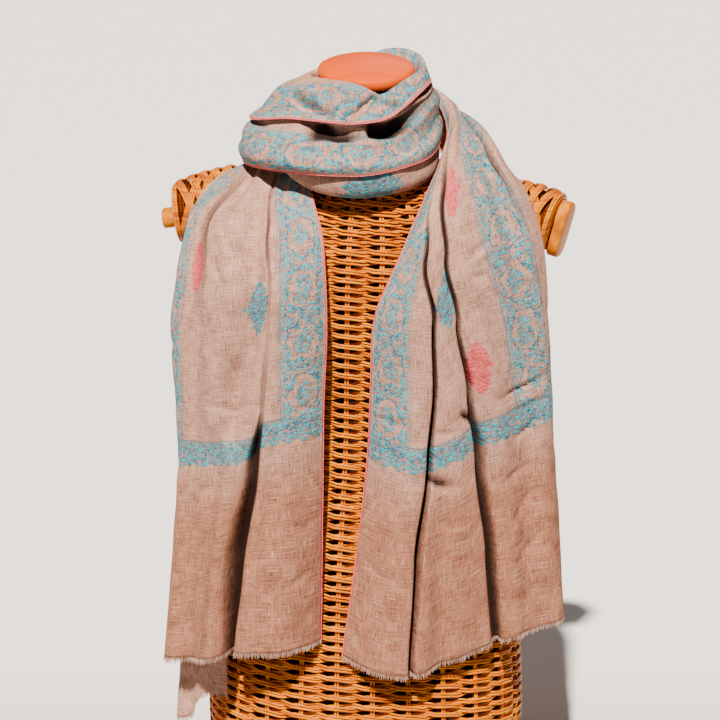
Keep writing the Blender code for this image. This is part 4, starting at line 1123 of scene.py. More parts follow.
# ---------------------------------------------------------------- the wicker form
@dataclass
class WickerForm:
    """The woven torso, its wrapped shoulder stubs, the neck cap and the shoulder plates.

    Lengths are in millimetres. The climb, its end and the twist's fade are each a height and the
    distance that the change takes.
    """

    stakes: int = 24
    row_pitch: float = 10.85
    top_pitch: float = 9.1
    cane_radius: float = 1.22
    cane_gap: float = 2.85
    stake_radius: float = 1.25
    stake_gap: float = 2.7
    weave_lift: float = 0.2
    stake_lift: float = -0.4
    weave_depth: float = 3.1
    core_inset: float = 5.4
    core_sides: int = 64
    wound_from: float = 694.0
    top: float = 758.0
    shoulder_lift: float = 24.0
    climb: tuple[float, float] = (545.0, 90.0)
    climb_end: tuple[float, float] = (720.0, 60.0)
    stake_twist: float = -0.0135
    twist_fade: tuple[float, float] = (620.0, 350.0)
    pitch_change: tuple[float, float] = (480.0, 570.0)
    first_row: float = 5.5
    wound_pitch: float = 2.5
    stub_tip: float = 197.5
    stub_root: float = 96.0
    lining_hoops: int = 34
    lining_from: float = 195.6
    lining_pitch: float = 2.9
    lining_radius: float = 1.35
    lining_lift: float = -3.4
    wrap_radius: float = 1.45
    wrap_slant: float = 34.0
    bundles: int = 10
    bundle_from: float = 195.5
    bundle_stagger: float = 9.0
    bundle_pitch: float = 12.2
    bundle_gap: float = 2.5
    bundle_limit: float = 196.5
    end_rings: int = 8
    end_ring_at: float = 197.2
    end_ring_pitch: float = 2.8
    rim_at: float = 196.4
    rim_gap: float = 2.6

    def outline(self, z: np.ndarray, share: np.ndarray, offset: np.ndarray | float = 0.0) -> np.ndarray:
        """Points on the torso's surface.

        Args:
            z: heights.
            share: ways round from the front centre, 0 to 1, anticlockwise seen from above.
            offset: distance out from the surface.

        Returns:
            Rows of x, y and z.
        """
        marks = [ring.z for ring in TORSO]
        place = np.interp(z, marks, range(len(TORSO)))
        table = np.array([ring[1:] for ring in TORSO], float)
        half, front, back, square, tilt = (blend_weights(len(TORSO), place) @ table).T
        turn = share * 2 * math.pi
        side, depth = np.sin(turn), -np.cos(turn)
        power = 2.0 / square
        x = np.sign(side) * np.abs(side) ** power * half
        y = np.sign(depth) * np.abs(depth) ** power * np.where(depth > 0, back, front)
        out = np.stack([x / half**2, y / np.where(depth > 0, back, front) ** 2], 1)
        out /= np.linalg.norm(out, axis=1)[:, None] + 1e-9
        x, y = x + out[:, 0] * offset, y + out[:, 1] * offset
        return np.stack([x, y, z + tilt * y], 1)

    def even_shares(self, z: float, ways: np.ndarray) -> np.ndarray:
        """Turn ways round, even in length, into shares of the outline's own turn."""
        fine = np.linspace(0, 1, 721)
        ring = self.outline(np.full(721, z), fine)
        steps = np.linalg.norm(np.diff(ring, axis=0), axis=1)
        length = np.concatenate([[0], np.cumsum(steps)]) / steps.sum()
        return np.interp(ways % 1.0, length, fine)

    def ring_points(self, z: float, ways: np.ndarray, rise: np.ndarray, offset: np.ndarray) -> np.ndarray:
        """Points of a woven row, which climbs to the shoulders near the top."""
        share = self.even_shares(z, ways)
        start, rise_over = self.climb
        end, fall_over = self.climb_end
        climb = np.clip((z - start) / rise_over, 0.0, 1.0) * np.clip((end - z) / fall_over, 0.0, 1.0)
        sideways = np.abs(np.sin(share * 2 * math.pi))
        height = z + rise + self.shoulder_lift * climb * sideways**2
        return self.outline(height, share, offset)

    def twist(self, z: float) -> float:
        """How far round the stakes have drifted at a height, as a share of a turn."""
        top, over = self.twist_fade
        return self.stake_twist * min(1.0, max(0.0, (top - z) / over))

    def core(self) -> None:
        """Dark inner shell that stands for the shadowed inside."""
        heights = np.concatenate([np.linspace(0, 700, 48), np.linspace(708, 764, 8)])
        ways = np.arange(self.core_sides) / self.core_sides
        rings = [self.outline(np.full(self.core_sides, z), ways, -self.core_inset) for z in heights]
        loft("form_inner_shell", rings, SHADOWED_CANE.make(), ("form_torso",))

    def upright_stakes(self) -> None:
        """Pairs of upright canes that the rows are woven round."""
        bundle = Strands("form_stakes", self.stake_radius)
        heights = np.linspace(1.5, self.wound_from + 20.0, 66)
        for stake in range(self.stakes):
            for side in (-0.5, 0.5):
                points = []
                for z in heights:
                    ring = self.even_shares(z, np.array([(stake + 0.5) / self.stakes + self.twist(z)]))
                    point = self.outline(np.array([z]), ring, self.stake_lift)[0]
                    turn = ring[0] * 2 * math.pi
                    shift = np.array([math.cos(turn), math.sin(turn), 0.0]) * side * self.stake_gap
                    points.append(point + shift)
                bundle.lay(np.array(points))
        bundle.finish(STAKE.make(), Slot.CANE)

    def pitch(self, z: float) -> float:
        """Distance from one woven row to the next at a height."""
        return float(np.interp(z, self.pitch_change, (self.row_pitch, self.top_pitch)))

    def woven_row(self, bundle: Strands, z: float, wobble: random.Random) -> None:
        """One twined row: two pairs of canes that twist round each other between the stakes.

        Args:
            bundle: the strands that the row joins.
            z: its middle height.
            wobble: source of small uneven shifts.
        """
        step = (np.arange(self.stakes)[:, None] + np.array((-0.5, -0.4, -0.24, 0.24, 0.4))).ravel()
        way = (step + 0.5) / self.stakes + self.twist(z)
        shift = wobble.uniform(-0.3, 0.3)
        swell = 0.3 * np.sin(way * 2 * math.pi * 5 + wobble.uniform(0, 6.28))
        for group in (0, 1):
            front = np.cos(math.pi * (step + group))
            slope = np.sin(math.pi * (step + group))
            rise = -0.24 * self.pitch(z) * np.sign(slope) * np.abs(slope) ** 3
            offset = self.weave_lift + self.weave_depth * np.sign(front) * np.abs(front) ** 0.6
            for cane in (-0.5, 0.5):
                bow = 0.25 * wobble.uniform(-1, 1)
                height = rise + cane * self.cane_gap + shift + swell + bow
                radii = 1.0 + 0.06 * np.sin(way * 60.0 + wobble.uniform(0, 6.28))
                bundle.lay(self.ring_points(z, way, height, offset), closed=True, radii=radii)

    def rows(self) -> None:
        """All woven rows, in bands that stay light enough, and the wound rows above them."""
        wobble = random.Random(7)
        finish = CANE.make()
        heights = [self.first_row]
        while heights[-1] < self.wound_from:
            heights.append(heights[-1] + self.pitch(heights[-1]))
        z = heights.pop()
        bands = 3
        for band in range(bands):
            bundle = Strands(f"form_woven_rows_{band + 1}", self.cane_radius)
            for height in heights[len(heights) * band // bands:len(heights) * (band + 1) // bands]:
                self.woven_row(bundle, height, wobble)
            bundle.finish(finish, Slot.CANE)
        bundle = Strands("form_wound_rows", self.cane_radius)
        way = np.arange(96) / 96
        while z < self.top:
            ripple = 0.5 * np.cos(way * 2 * math.pi * self.stakes)
            bundle.lay(self.ring_points(z, way, np.zeros(96), 0.4 + ripple), closed=True)
            z += self.wound_pitch
        bundle.finish(finish, Slot.CANE)

    @staticmethod
    def stub_point(side: int, x: float, turn: float, offset: float) -> np.ndarray:
        """Point on a shoulder stub.

        Args:
            side: -1 for the left stub and 1 for the right.
            x: distance out from the form's axis.
            turn: radians round the stub, 0 on top and a quarter turn in front.
            offset: distance out from its surface.

        Returns:
            The point in millimetres.
        """
        table = np.array(LEFT_SHOULDER if side < 0 else RIGHT_SHOULDER, float)
        z, height, depth, lean, out = (np.interp(x, table[:, 0], table[:, column]) for column in range(1, 6))
        rise = math.cos(turn) * (height + offset)
        y = -math.sin(turn) * (depth + offset)
        return np.array([side * (x + lean * rise + out * y), y, z + rise])

    def hoop(self, side: int, out: np.ndarray | float, turns: np.ndarray, offset: float) -> np.ndarray:
        """Points round a stub, at one distance out or one for each turn."""
        spots = zip(np.broadcast_to(out, turns.shape), turns)
        return np.array([self.stub_point(side, x, turn, offset) for x, turn in spots])

    def shoulders(self) -> None:
        """Cane wound close round both shoulder stubs, darkened as painted shade, under two crossing layers of
        slanting threes.
        """
        finish = CANE.make()
        deep = SHADE_PAINTED_CANE.make()
        turns = np.arange(36) / 36 * 2 * math.pi
        coarse = np.arange(24) * 2 * math.pi / 24
        share = 1 - np.abs(turns / math.pi - 1)
        for side, name in ((-1, "left"), (1, "right")):
            # Each stub's core is a near-black shell of painted shade inside the wrap.
            rings = [self.hoop(side, x, coarse, -4.2) for x in np.linspace(self.stub_tip, self.stub_root, 12)]
            loft(f"form_stub_core_{name}", rings, SHADOWED_CANE.make())

            # The lining takes the darker cane copy as painted shade.
            lining = Strands(f"form_stub_lining_{name}", self.lining_radius)
            for turn in range(self.lining_hoops):
                hoop = self.hoop(side, self.lining_from - turn * self.lining_pitch, turns, self.lining_lift)
                lining.lay(hoop, closed=True)
            lining.finish(deep, Slot.CANE)
            wrap = Strands(f"form_stub_wrap_{name}", self.wrap_radius)
            for ring in range(1, self.end_rings + 1):
                wrap.lay(self.hoop(side, self.end_ring_at, turns, 1.0 - ring * self.end_ring_pitch), closed=True)
            for layer, lift in ((0, -0.3), (1, 2.0)):
                slant = (share if layer else 1 - share) * self.wrap_slant
                for bundle in range(self.bundles):
                    for cane in range(3):
                        start = (self.bundle_from + (0 if layer else self.bundle_stagger)
                                 - bundle * self.bundle_pitch - cane * self.bundle_gap)
                        out = np.clip(start - slant, self.stub_root, self.bundle_limit)
                        wrap.lay(self.hoop(side, out, turns, lift + 0.5 * (cane == 1)), closed=True)
            for cane in range(2):
                wrap.lay(self.hoop(side, self.rim_at - cane * self.rim_gap, turns, 0.9), closed=True)
            wrap.finish(finish, Slot.CANE)

    @staticmethod
    def neck_cap() -> None:
        """Turned and lacquered cap that leans forward with the neck."""
        cap = bmesh.new()
        line = [cap.verts.new((reach * MM, 0.0, height * MM)) for reach, height in CAP_OUTLINE]
        edges = [cap.edges.new(pair) for pair in zip(line, line[1:])]
        bmesh.ops.spin(cap, geom=line + edges, axis=(0, 0, 1), cent=(0, 0, 0), angle=2 * math.pi, steps=96,
                       use_merge=True)
        bmesh.ops.remove_doubles(cap, verts=cap.verts, dist=1e-5)
        bmesh.ops.recalc_face_normals(cap, faces=cap.faces)
        # Steep side faces take the darker lacquer copy as painted shade.
        for face in cap.faces:
            face.material_index = int(abs(face.normal.z) < RIM_SLOPE)
        lean = Matrix.Rotation(math.radians(CAP_LEAN), 4, "X")
        place = Matrix.Translation(Vector((MODEL_SHIFT + (0.0, 0.0, CAP_SEAT)) * MM))
        bmesh.ops.transform(cap, matrix=place @ lean, verts=cap.verts)
        piece = finish_piece("form_cap_turned", cap, LACQUER.make(), ("form_neck_cap",))
        piece.data.materials.append(SHADED_CAP_SIDE.make())

    @staticmethod
    def shoulder_plates() -> None:
        """Wooden plates against the stub ends, with eased edges."""
        finish = PLATE_WOOD.make()
        for plate in PLATES:
            stub = (LEFT_SHOULDER if plate.side < 0 else RIGHT_SHOULDER)[-1]
            thick, deep, tall = plate.size
            board = bmesh.new()
            bmesh.ops.create_cube(board, size=1.0)
            bmesh.ops.scale(board, vec=Vector(plate.size) * MM, verts=board.verts)
            for through, ease, segments in ((True, min(deep, tall) * 0.45, 10), (False, 2.4, 3)):
                edges = [edge for edge in board.edges
                         if (abs((edge.verts[0].co - edge.verts[1].co).x) > 1e-6) == through]
                bmesh.ops.bevel(board, geom=edges, offset=ease * MM, offset_type="OFFSET", affect="EDGES",
                                segments=segments, profile=0.5, material=-1)
            face = Vector((plate.side, -stub.turn, -stub.lean)).normalized()
            up = Vector((plate.side * stub.lean, 0.0, 1.0)).normalized()
            middle = (Vector((plate.side * stub.x, 0.0, stub.z + plate.slide)) + face * (thick / 2 + 0.3)
                      + Vector((up.x * plate.slide, 0.0, 0.0)) + Vector(MODEL_SHIFT)) * MM
            turn = Matrix((face, up.cross(face), up)).transposed().to_4x4()
            bmesh.ops.transform(board, matrix=Matrix.Translation(middle) @ turn, verts=board.verts)
            finish_piece(plate.name + "_wood", board, finish, (plate.name,))

    def build(self) -> None:
        """Build every piece of the form."""
        self.core()
        self.upright_stakes()
        self.rows()
        self.shoulders()
        self.neck_cap()
        self.shoulder_plates()


# ---------------------------------------------------------------- the shawl
SLOT_STEPS = (-1.9, -1.5, -1.2, -1.0, -0.85, -0.7, -0.5, 0.0, 0.5, 0.7, 0.85, 1.0, 1.2, 1.5, 1.9)


@dataclass
class Drape:
    """One stretch of the shawl: its rails, folds, flat pattern and finish.

    It runs from line number start to end in so many rows. The spans are the columns before,
    between and after its slots. A flat line's first place belongs to line number flat_first,
    and the line drop is the length of cloth for each line above the hem's part.
    """

    name: str
    rails: np.ndarray
    marks: dict[str | float, float]
    start: float
    end: float
    rows: int
    spans: tuple[int, ...]
    finish: WoolFinish
    node: str
    flat_size: tuple[float, float]
    slots: tuple[Fold, ...] = ()
    folds: tuple[Fold, ...] = ()
    wrinkles: tuple[Wrinkle, ...] = ()
    inward: int = 1
    flat_lines: tuple[FlatLine, ...] = ()
    flat_first: int = 0
    selvedge_last: bool = False
    wall: float = 0.5
    line_drop: float = 100.0

    def surface(self, along: np.ndarray, places: np.ndarray) -> np.ndarray:
        """Points on the smooth surface between the rails.

        Args:
            along: a line number for each row.
            places: places across, one row of them for each line.

        Returns:
            Points in millimetres, by row and column.
        """
        lines = np.einsum("ml,lrc->mrc", blend_weights(len(self.rails), along), self.rails)
        count = self.rails.shape[1]
        weights = blend_weights(count, places * (count - 1)).reshape(*places.shape, count)
        return np.einsum("mnr,mrc->mnc", weights, lines)

    def mark(self, mark: str | float) -> float:
        """Line number of a level's name or an angle; a hanging stretch also takes a line number."""
        if mark in self.marks:
            return self.marks[mark]
        if "step" in self.marks:
            return (mark - self.marks["from"]) / self.marks["step"]
        return float(mark) + self.flat_first

    def read(self, fold: Fold, value: str, along: np.ndarray) -> np.ndarray:
        """Read a fold's place, depth or half width along the stretch, with eased steps."""
        pairs = sorted((self.mark(stop.mark), getattr(stop, value)) for stop in fold.stops)
        marks = [mark for mark, _ in pairs]
        place = np.interp(along, marks, range(len(marks)))
        whole = np.clip(np.floor(place).astype(int), 0, max(0, len(marks) - 2))
        part = place - whole
        part = part * part * (3 - 2 * part)
        values = np.array([reading for _, reading in pairs], float)
        return values[whole] + (values[np.minimum(whole + 1, len(marks) - 1)] - values[whole]) * part

    def spread(self, along: np.ndarray, places: np.ndarray) -> np.ndarray:
        """Millimetres across the cloth for one unit of place."""
        step = 0.01
        ahead = self.surface(along, places[:, None] + step)[:, 0]
        behind = self.surface(along, places[:, None] - step)[:, 0]
        return np.linalg.norm(ahead - behind, axis=1) / (2 * step)

    def columns(self, along: np.ndarray) -> np.ndarray:
        """Places across for each row: even ones, with a close set that follows each slot."""
        anchors = [np.zeros_like(along)]
        for slot in self.slots:
            place = self.read(slot, "place", along)
            reach = self.read(slot, "half_width", along) / self.spread(along, place)
            anchors.extend(place + reach * step for step in SLOT_STEPS)
        anchors.append(np.ones_like(along))
        columns = []
        for index, count in enumerate(self.spans):
            begin = anchors[index * len(SLOT_STEPS)]
            finish = anchors[index * len(SLOT_STEPS) + 1]
            columns.extend(begin + (finish - begin) * step / count for step in range(count))
            if index < len(self.spans) - 1:
                columns.extend(anchors[index * len(SLOT_STEPS) + 1:(index + 1) * len(SLOT_STEPS)])
        columns.append(anchors[-1])
        return np.stack(columns, 1)

    def normals(self, along: np.ndarray, places: np.ndarray) -> np.ndarray:
        """Unit normals of the smooth surface, towards the inner side for a positive fold."""
        step = 0.01
        last = len(self.rails) - 1
        down = (self.surface(np.minimum(along + step, last), places)
                - self.surface(np.maximum(along - step, 0), places))
        over = (self.surface(along, np.minimum(places + step, 1))
                - self.surface(along, np.maximum(places - step, 0)))
        normal = np.cross(over, down) * self.inward
        return normal / (np.linalg.norm(normal, axis=2)[..., None] + 1e-9)

    def wrinkle_push(self, wrinkle: Wrinkle, points: np.ndarray) -> np.ndarray:
        """How far one wrinkle moves every point of the smooth surface."""
        line = []
        for mark, place in wrinkle.points:
            line.append(self.surface(np.array([self.mark(mark)]), np.array([[place]]))[0, 0])
        line = np.array(line)
        lengths = np.linalg.norm(np.diff(line, axis=0), axis=1)
        ends = np.concatenate([[0], np.cumsum(lengths)]) / lengths.sum()
        nearest = np.full(points.shape[:2], 1e9)
        share = np.zeros(points.shape[:2])
        for index in range(len(line) - 1):
            run = line[index + 1] - line[index]
            part = np.clip(((points - line[index]) @ run) / (run @ run), 0, 1)
            away = np.linalg.norm(points - line[index] - part[..., None] * run, axis=2)
            closer = away < nearest
            nearest = np.where(closer, away, nearest)
            share = np.where(closer, ends[index] + part * (ends[index + 1] - ends[index]), share)
        fade = np.sin(np.clip(share, 0.03, 0.97) * math.pi) ** 0.6
        return wrinkle.depth * fade * np.exp(-(nearest / wrinkle.half_width) ** 2)

    def shape(self) -> tuple[np.ndarray, np.ndarray, np.ndarray]:
        """Work out the finished surface, and keep how much painted shade each point takes from how deep in a
        slot or crease it lies.

        Returns:
            Line numbers of the rows, places of the columns, and points in millimetres.
        """
        along = np.linspace(self.start, self.end, self.rows + 1)
        places = self.columns(along)
        points = self.surface(along, places)
        push = np.zeros(places.shape)
        self.hollow = np.zeros(places.shape)
        for fold in self.slots + self.folds:
            middle = self.read(fold, "place", along)
            scale = self.spread(along, np.clip(middle, 0.02, 0.98))
            width = self.read(fold, "half_width", along)[:, None]
            depth = self.read(fold, "depth", along)[:, None]
            away = (places - middle[:, None]) * scale[:, None]
            push += depth * np.exp(-np.abs(away / width) ** fold.power)
            push += depth * fold.shoulder * np.exp(-(away / (width * 3.2)) ** 2)
            # Steep slots get painted shade by their depth, strongest at their middle.
            if fold.power > 2.5:
                self.hollow += np.clip(depth / 8.0, 0, 1) * np.exp(-np.abs(away / (width * 1.05)) ** 4)
        for wrinkle in self.wrinkles:
            moved = self.wrinkle_push(wrinkle, points)
            push += moved
            # Deep wrinkles get painted shade too.
            self.hollow += np.clip((moved - 2.6) / 4.0, 0, 1)
        push += 0.35 * np.sin(points[..., 2] * 0.11 + points[..., 0] * 0.05) * np.sin(points[..., 0] * 0.09)
        return along, places, points + self.normals(along, places) * push[..., None]

    def flat_map(self, along: np.ndarray, places: np.ndarray) -> np.ndarray:
        """Flat metres of every point, across and along; without flat lines they follow the surface."""
        smooth = self.surface(along, places)
        if not self.flat_lines:
            steps = np.linalg.norm(np.diff(smooth, axis=1), axis=2)
            across = np.concatenate([np.zeros((len(along), 1)), np.cumsum(steps, axis=1)], axis=1)
            if self.selvedge_last:
                across = across[:, -1:] - across
            length = self.flat_size[1] * 1000.0 * (along - along[0]) / (along[-1] - along[0])
            return np.stack([across, np.broadcast_to(length[:, None], across.shape)], 2) * MM
        steps = np.linalg.norm(np.diff(smooth, axis=0), axis=2)
        fallen = np.concatenate([np.cumsum(steps[::-1], axis=0)[::-1], np.zeros((1, places.shape[1]))])
        fallen += (len(self.rails) - 1 - self.end) * self.line_drop
        across = np.zeros(places.shape)
        levels = np.clip(along - self.flat_first, 0, None)
        numbers = range(len(self.flat_lines[0].places))
        gap = 0.006
        for row, level in enumerate(levels):
            marks, flats, lifts = [0.0], [0.0], [self.flat_lines[0].lift]
            for index, line in enumerate(self.flat_lines):
                place = float(np.interp(level, numbers, line.places))
                after = self.flat_lines[min(index + 1, len(self.flat_lines) - 1)]
                marks.extend((place - gap, place + gap))
                for flat in (line.before, line.after or line.before):
                    flats.append(float(np.interp(level, numbers, flat)))
                lifts.extend((line.lift, after.lift))
            across[row] = np.interp(places[row], marks, flats)
            fallen[row] += np.interp(places[row], marks, lifts)
        return np.stack([across, fallen], 2) * MM

    def build(self, groups: PatternGroups) -> bpy.types.Object:
        """Build the stretch as a thin wall and keep its surface for the trims.

        Args:
            groups: the shared pattern groups.

        Returns:
            The cloth's object.
        """
        along, places, points = self.shape()
        flat = self.flat_map(along, places)
        self.points = points
        rows, columns = places.shape[0] - 1, places.shape[1] - 1
        grid = bmesh.new()
        bmesh.ops.create_grid(grid, x_segments=columns, y_segments=rows, size=1.0)
        layer = grid.loops.layers.uv.new("flat")
        # The hollow layer carries the painted shade of slots and creases to the wool's material.
        deep = grid.verts.layers.float.new("hollow")
        spots = {}
        for vert in grid.verts:
            column = round((vert.co.x + 1) / 2 * columns)
            row = round((vert.co.y + 1) / 2 * rows)
            spots[vert] = (row, column)
            vert.co = Vector((points[row, column] + MODEL_SHIFT) * MM)
            vert[deep] = min(1.0, self.hollow[row, column])
        for face in grid.faces:
            for loop in face.loops:
                loop[layer].uv = flat[spots[loop.vert]]
        if self.inward < 0:
            bmesh.ops.reverse_faces(grid, faces=grid.faces)
        piece = finish_piece(self.name, grid, self.finish.make(groups), (self.node,))
        solidify = piece.modifiers.new("wall", "SOLIDIFY")
        solidify.thickness = self.wall * MM
        solidify.offset = 0.0
        solidify.use_even_offset = False
        return piece

    def edge_thread(self, name: str, column: int, material: bpy.types.Material) -> bpy.types.Object:
        """Lay the whipped thread along one long edge.

        Args:
            name: the thread's name.
            column: the edge's column, 0 or -1.
            material: its finish.

        Returns:
            The thread's object.
        """
        strand = Strands(name, 0.7)
        strand.lay(self.points[:, column])
        return strand.finish(material, Slot.WOOL)

    def fringe(self, name: str, node: str, material: bpy.types.Material,
               pitch: float = 1.15) -> bpy.types.Object:
        """Hang loose yarn ends from the hem.

        Args:
            name: the fringe's name.
            node: the CAD node that it stands for.
            material: its finish.
            pitch: distance from one yarn to the next.

        Returns:
            The fringe's object.
        """
        chance = random.Random(name)
        hem, above = self.points[-1], self.points[-4]
        steps = np.linalg.norm(np.diff(hem, axis=0), axis=1)
        length = np.concatenate([[0], np.cumsum(steps)])
        bundle = Strands(name, 0.42, 0)
        place = 0.4
        clump = 0.0
        while place < length[-1]:
            further = min(place + 2, length[-1])
            root, higher, ahead = (
                np.array([np.interp(spot, length, line[:, axis]) for axis in range(3)])
                for spot, line in ((place, hem), (place, above), (further, hem)))
            sideways = ahead - root
            sideways /= np.linalg.norm(sideways) + 1e-9
            fall = root - higher
            fall /= np.linalg.norm(fall)
            clump = 0.7 * clump + chance.uniform(-0.35, 0.35)
            reach = chance.uniform(3.4, 6.2)
            front = np.cross(sideways, fall)
            lean = sideways * (clump + chance.uniform(-0.15, 0.15)) + front * chance.uniform(-0.16, 0.16)
            curl = sideways * chance.uniform(-0.5, 0.5) + front * chance.uniform(-0.4, 0.4)
            line = [root - fall * 1.2, root + fall * reach * 0.35 + lean * reach * 0.2,
                    root + fall * reach * 0.7 + lean * reach * 0.5 + curl,
                    root + fall * reach + lean * reach * 0.85 + curl * 0.6]
            bundle.lay(np.array(line), radii=np.array([1.0, 0.95, 0.8, 0.45]))
            place += pitch * chance.uniform(0.7, 1.3)
        return bundle.finish(material, Slot.FRINGE, (node,))


def wound_rails(rows: tuple, step: float) -> tuple[np.ndarray, dict]:
    """Rails of a stretch that goes round the neck.

    Args:
        rows: its table of sections.
        step: degrees between the lines.

    Returns:
        The lines in millimetres and the marks that turn an angle into a line number.
    """
    angles = np.array([row.angle for row in rows], float)
    count = round((angles[-1] - angles[0]) / step)
    read = np.linspace(angles[0], angles[-1], count + 1)
    weights = blend_weights(len(rows), np.interp(read, angles, range(len(rows))))
    table = np.array([[row[column] for column in range(1, len(row))] for row in rows], float)
    sections = np.einsum("ml,lrc->mrc", weights, table)
    turn = np.radians(read)[:, None]
    reach, height = sections[..., 0], sections[..., 1]
    lines = np.stack([-np.sin(turn) * reach, -np.cos(turn) * reach, height], 2)
    return lines, {"from": angles[0], "step": (angles[-1] - angles[0]) / count}


def hanging_rails(rows: tuple) -> tuple[np.ndarray, dict]:
    """Rails and marks of a stretch that hangs between named levels."""
    return np.array([row[1:] for row in rows], float), {row.name: index for index, row in enumerate(rows)}


@dataclass
class Shawl:
    """The whole shawl: its stretches, whipped selvedges and fringes."""

    turn_step: float = 15.0
    seam: float = 0.004

    def stretches(self) -> dict[str, Drape]:
        """Set out every stretch of the shawl."""
        wrap_lines, wrap_marks = wound_rails(FRONT_WRAP, self.turn_step)
        hung, hung_marks = hanging_rails(RIGHT_END)
        turned_lines, turned_marks = wound_rails(TURNED_EDGE, self.turn_step)
        cowl_lines, cowl_marks = wound_rails(COWL, self.turn_step)
        left_lines, left_marks = hanging_rails(LEFT_END)
        under_lines, under_marks = hanging_rails(LEFT_UNDER_LAYER)
        front_lines = np.concatenate([wrap_lines, hung[:1]])
        nape_lines = np.concatenate([wrap_lines[-2:], hung])
        nape_marks = {name: index + 2 for name, index in hung_marks.items()}
        cut = len(wrap_lines) - 1
        crest = nape_marks["crest"]

        edge_band, inner_band, end_level = (25.0, False), (241.0, True), 232.0
        end_print = {"bands": (edge_band, inner_band), "band_end": end_level, "cross_level": end_level,
                     "warm_hem": True}
        wrap_wool = WoolFinish("wool_front_wrap", bands=(edge_band,), medallions=(Medallion(92.0, 330.0),))
        turned_wool = WoolFinish("wool_turned_edge", bands=(edge_band,))
        cowl_wool = WoolFinish("wool_cowl", medallions=(Medallion(30.0, 156.0), Medallion(44.0, 150.0)))
        right_wool = WoolFinish("wool_right_end", **end_print, medallions=(
            Medallion(99.0, 392.0), Medallion(90.0, 590.0), Medallion(180.0, 304.0, True),
            Medallion(180.0, 490.0, True), Medallion(302.0, 516.0, True), Medallion(302.0, 330.0, True),
            Medallion(180.0, 700.0, True)))
        left_wool = WoolFinish("wool_left_end", **end_print, medallions=(
            Medallion(90.0, 386.0), Medallion(90.0, 580.0), Medallion(188.0, 432.0, True)))
        plain_wool = WoolFinish("wool_under_layer", cross_level=300.0, warm_hem=True, whipped=False)
        return {
            "front_wrap": Drape(
                "shawl_wrap_cloth", front_lines, wrap_marks, 0.0, cut - self.seam, 190, (52,), wrap_wool,
                "shawl_front_wrap", (0.105, 0.46), folds=WRAP_FOLDS, wrinkles=WRAP_WRINKLES,
                selvedge_last=True),
            "turned_edge": Drape(
                "shawl_turned_cloth", turned_lines, turned_marks, 0.0, len(turned_lines) - 1.0, 190, (40,),
                turned_wool, "shawl_turned_edge", (0.075, 0.42), folds=TURNED_FOLDS,
                wrinkles=TURNED_WRINKLES, selvedge_last=True),
            "cowl": Drape(
                "shawl_cowl_cloth", cowl_lines, cowl_marks, 0.0, len(cowl_lines) - 1.0, 96, (32,), cowl_wool,
                "shawl_cowl", (0.058, 0.25), folds=COWL_FOLDS),
            "nape_wrap": Drape(
                "shawl_nape_cloth", nape_lines, nape_marks, 1.0 + self.seam, crest - self.seam, 76,
                (14, 14, 60), right_wool, "shawl_nape_wrap", (0.13, 0.22), RIGHT_SLOTS, RIGHT_FOLDS,
                flat_lines=RIGHT_FLAT, flat_first=2),
            "right_end": Drape(
                "shawl_right_cloth", nape_lines, nape_marks, crest + self.seam, nape_marks["hem"], 210,
                (26, 20, 66), right_wool, "shawl_right_end", (0.33, 0.60), RIGHT_SLOTS, RIGHT_FOLDS,
                RIGHT_WRINKLES, flat_lines=RIGHT_FLAT, flat_first=2),
            "left_end": Drape(
                "shawl_left_cloth", left_lines, left_marks, 0.0, len(left_lines) - 1.0, 210, (30, 58),
                left_wool, "shawl_left_end", (0.22, 0.62), LEFT_SLOTS, LEFT_FOLDS, LEFT_WRINKLES,
                inward=-1, flat_lines=LEFT_FLAT),
            "under_layer": Drape(
                "shawl_under_cloth", under_lines, under_marks, 0.0, len(under_lines) - 1.0, 120, (24,),
                plain_wool, "shawl_left_under_layer", (0.065, 0.50), folds=UNDER_FOLDS,
                wrinkles=UNDER_WRINKLES),
        }

    def build(self) -> None:
        """Build the cloth, its whipped selvedges and its fringes."""
        groups = PatternGroups()
        yarn = LOOSE_YARN.make()
        coral = WHIPPED_EDGE.make()
        cloth = self.stretches()
        pieces = {key: drape.build(groups) for key, drape in cloth.items()}
        trims = {
            "right_end": [cloth["right_end"].edge_thread("shawl_right_selvedge", 0, coral),
                          cloth["right_end"].fringe("shawl_right_yarn_ends", "shawl_right_fringe", yarn)],
            "left_end": [cloth["left_end"].edge_thread("shawl_left_selvedge", 0, coral),
                         cloth["left_end"].fringe("shawl_left_yarn_ends", "shawl_left_fringe", yarn)],
            "turned_edge": [cloth["turned_edge"].edge_thread("shawl_turned_selvedge", -1, coral)],
            "front_wrap": [cloth["front_wrap"].edge_thread("shawl_wrap_selvedge", -1, coral)],
            "under_layer": [
                cloth["under_layer"].fringe("shawl_under_yarn_ends", "shawl_left_under_fringe", yarn)],
        }


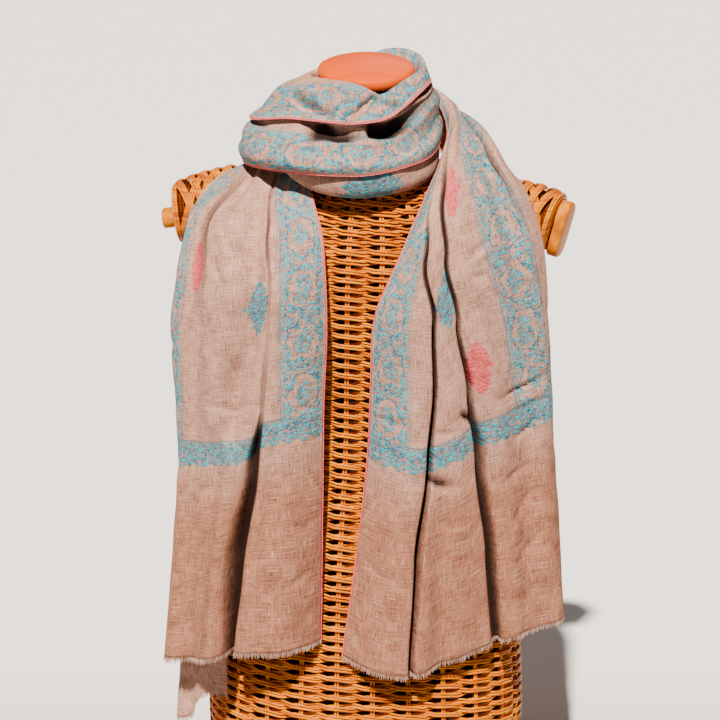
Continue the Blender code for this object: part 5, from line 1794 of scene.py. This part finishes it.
# ---------------------------------------------------------------- the studio
@dataclass
class Studio:
    """A pale floor, soft lights and the camera."""

    target: Triple = (-6.4, 0.0, 463.0)
    distance: float = 2544.0
    elevation: float = 15.0
    lens: float = 120.0
    sensor: float = 36.0
    floor_size: float = 14.0
    # Painted shade: the floor darkens towards the viewer, which also throws less light back up at the form.
    floor_near: tuple[float, ...] = (0.24, 0.23, 0.22, 1.0)
    floor_far: tuple[float, ...] = (0.98, 0.95, 0.91, 1.0)
    sky_colour: tuple[float, ...] = (1.0, 0.985, 0.96, 1.0)
    sky_strength: float = 0.11

    def floor(self) -> None:
        """Lay the plain pale floor, darker in tone towards the viewer as painted shade."""
        slab = bmesh.new()
        bmesh.ops.create_grid(slab, x_segments=1, y_segments=1, size=self.floor_size)
        mesh = bpy.data.meshes.new("studio_floor")
        slab.to_mesh(mesh)
        slab.free()
        floor = bpy.data.objects.new("studio_floor", mesh)
        material, bench = start_material("pale_floor")
        coords = bench.add("ShaderNodeTexCoord")
        _, depth, _ = bench.split(coords.outputs["Object"])
        colour = bench.blend(bench.ease(depth, -0.35, 0.35), self.floor_near, self.floor_far)
        bench.surface({"Base Color": colour, "Roughness": 0.9})
        mesh.materials.append(material)
        bpy.context.scene.collection.objects.link(floor)

    @staticmethod
    def sun(name: str, bearing: float, height: float, energy: float, softness: float,
            colour: Triple) -> None:
        """Hang one far light.

        Args:
            name: the light's name.
            bearing: degrees from straight in front, towards the viewer's right.
            height: degrees above the floor.
            energy: its strength.
            softness: its width in degrees.
            colour: its colour.
        """
        data = bpy.data.lights.new(name, "SUN")
        data.energy = energy
        data.angle = math.radians(softness)
        data.color = colour
        lamp = bpy.data.objects.new(name, data)
        turn, rise = math.radians(bearing), math.radians(height)
        place = Vector((math.sin(turn) * math.cos(rise), -math.cos(turn) * math.cos(rise), math.sin(rise)))
        lamp.location = place * 3.0
        lamp.rotation_euler = (-place).to_track_quat("-Z", "Y").to_euler()
        bpy.context.scene.collection.objects.link(lamp)

    def camera(self) -> None:
        """Set up the camera."""
        data = bpy.data.cameras.new("studio_camera")
        data.lens = self.lens
        data.sensor_width = self.sensor
        camera = bpy.data.objects.new("studio_camera", data)
        tilt = math.radians(self.elevation)
        back = Vector((0.0, -math.cos(tilt), math.sin(tilt))) * self.distance
        camera.location = (Vector(self.target) + Vector(MODEL_SHIFT) + back) * MM
        camera.rotation_euler = (math.pi / 2 - tilt, 0.0, 0.0)
        bpy.context.scene.collection.objects.link(camera)
        bpy.context.scene.camera = camera

    def build(self) -> None:
        """Set up the whole studio."""
        self.floor()
        self.camera()
        self.sun("key_light", -10.0, 53.0, 10.2, 2.0, (1.0, 0.93, 0.83))
        self.sun("back_light", 165.0, 35.0, 0.3, 30.0, (0.97, 0.98, 1.0))
        world = bpy.data.worlds.new("studio_world")
        world.use_nodes = True
        sky = world.node_tree.nodes["Background"]
        sky.inputs["Color"].default_value = self.sky_colour
        sky.inputs["Strength"].default_value = self.sky_strength
        bpy.context.scene.world = world


def main() -> None:
    """Build the studio, the dress form and the shawl, in that order."""
    logging.basicConfig(level=logging.INFO, format="%(name)s %(message)s")
    Studio().build()
    WickerForm().build()
    Shawl().build()


if __name__ == "__main__":
    main()
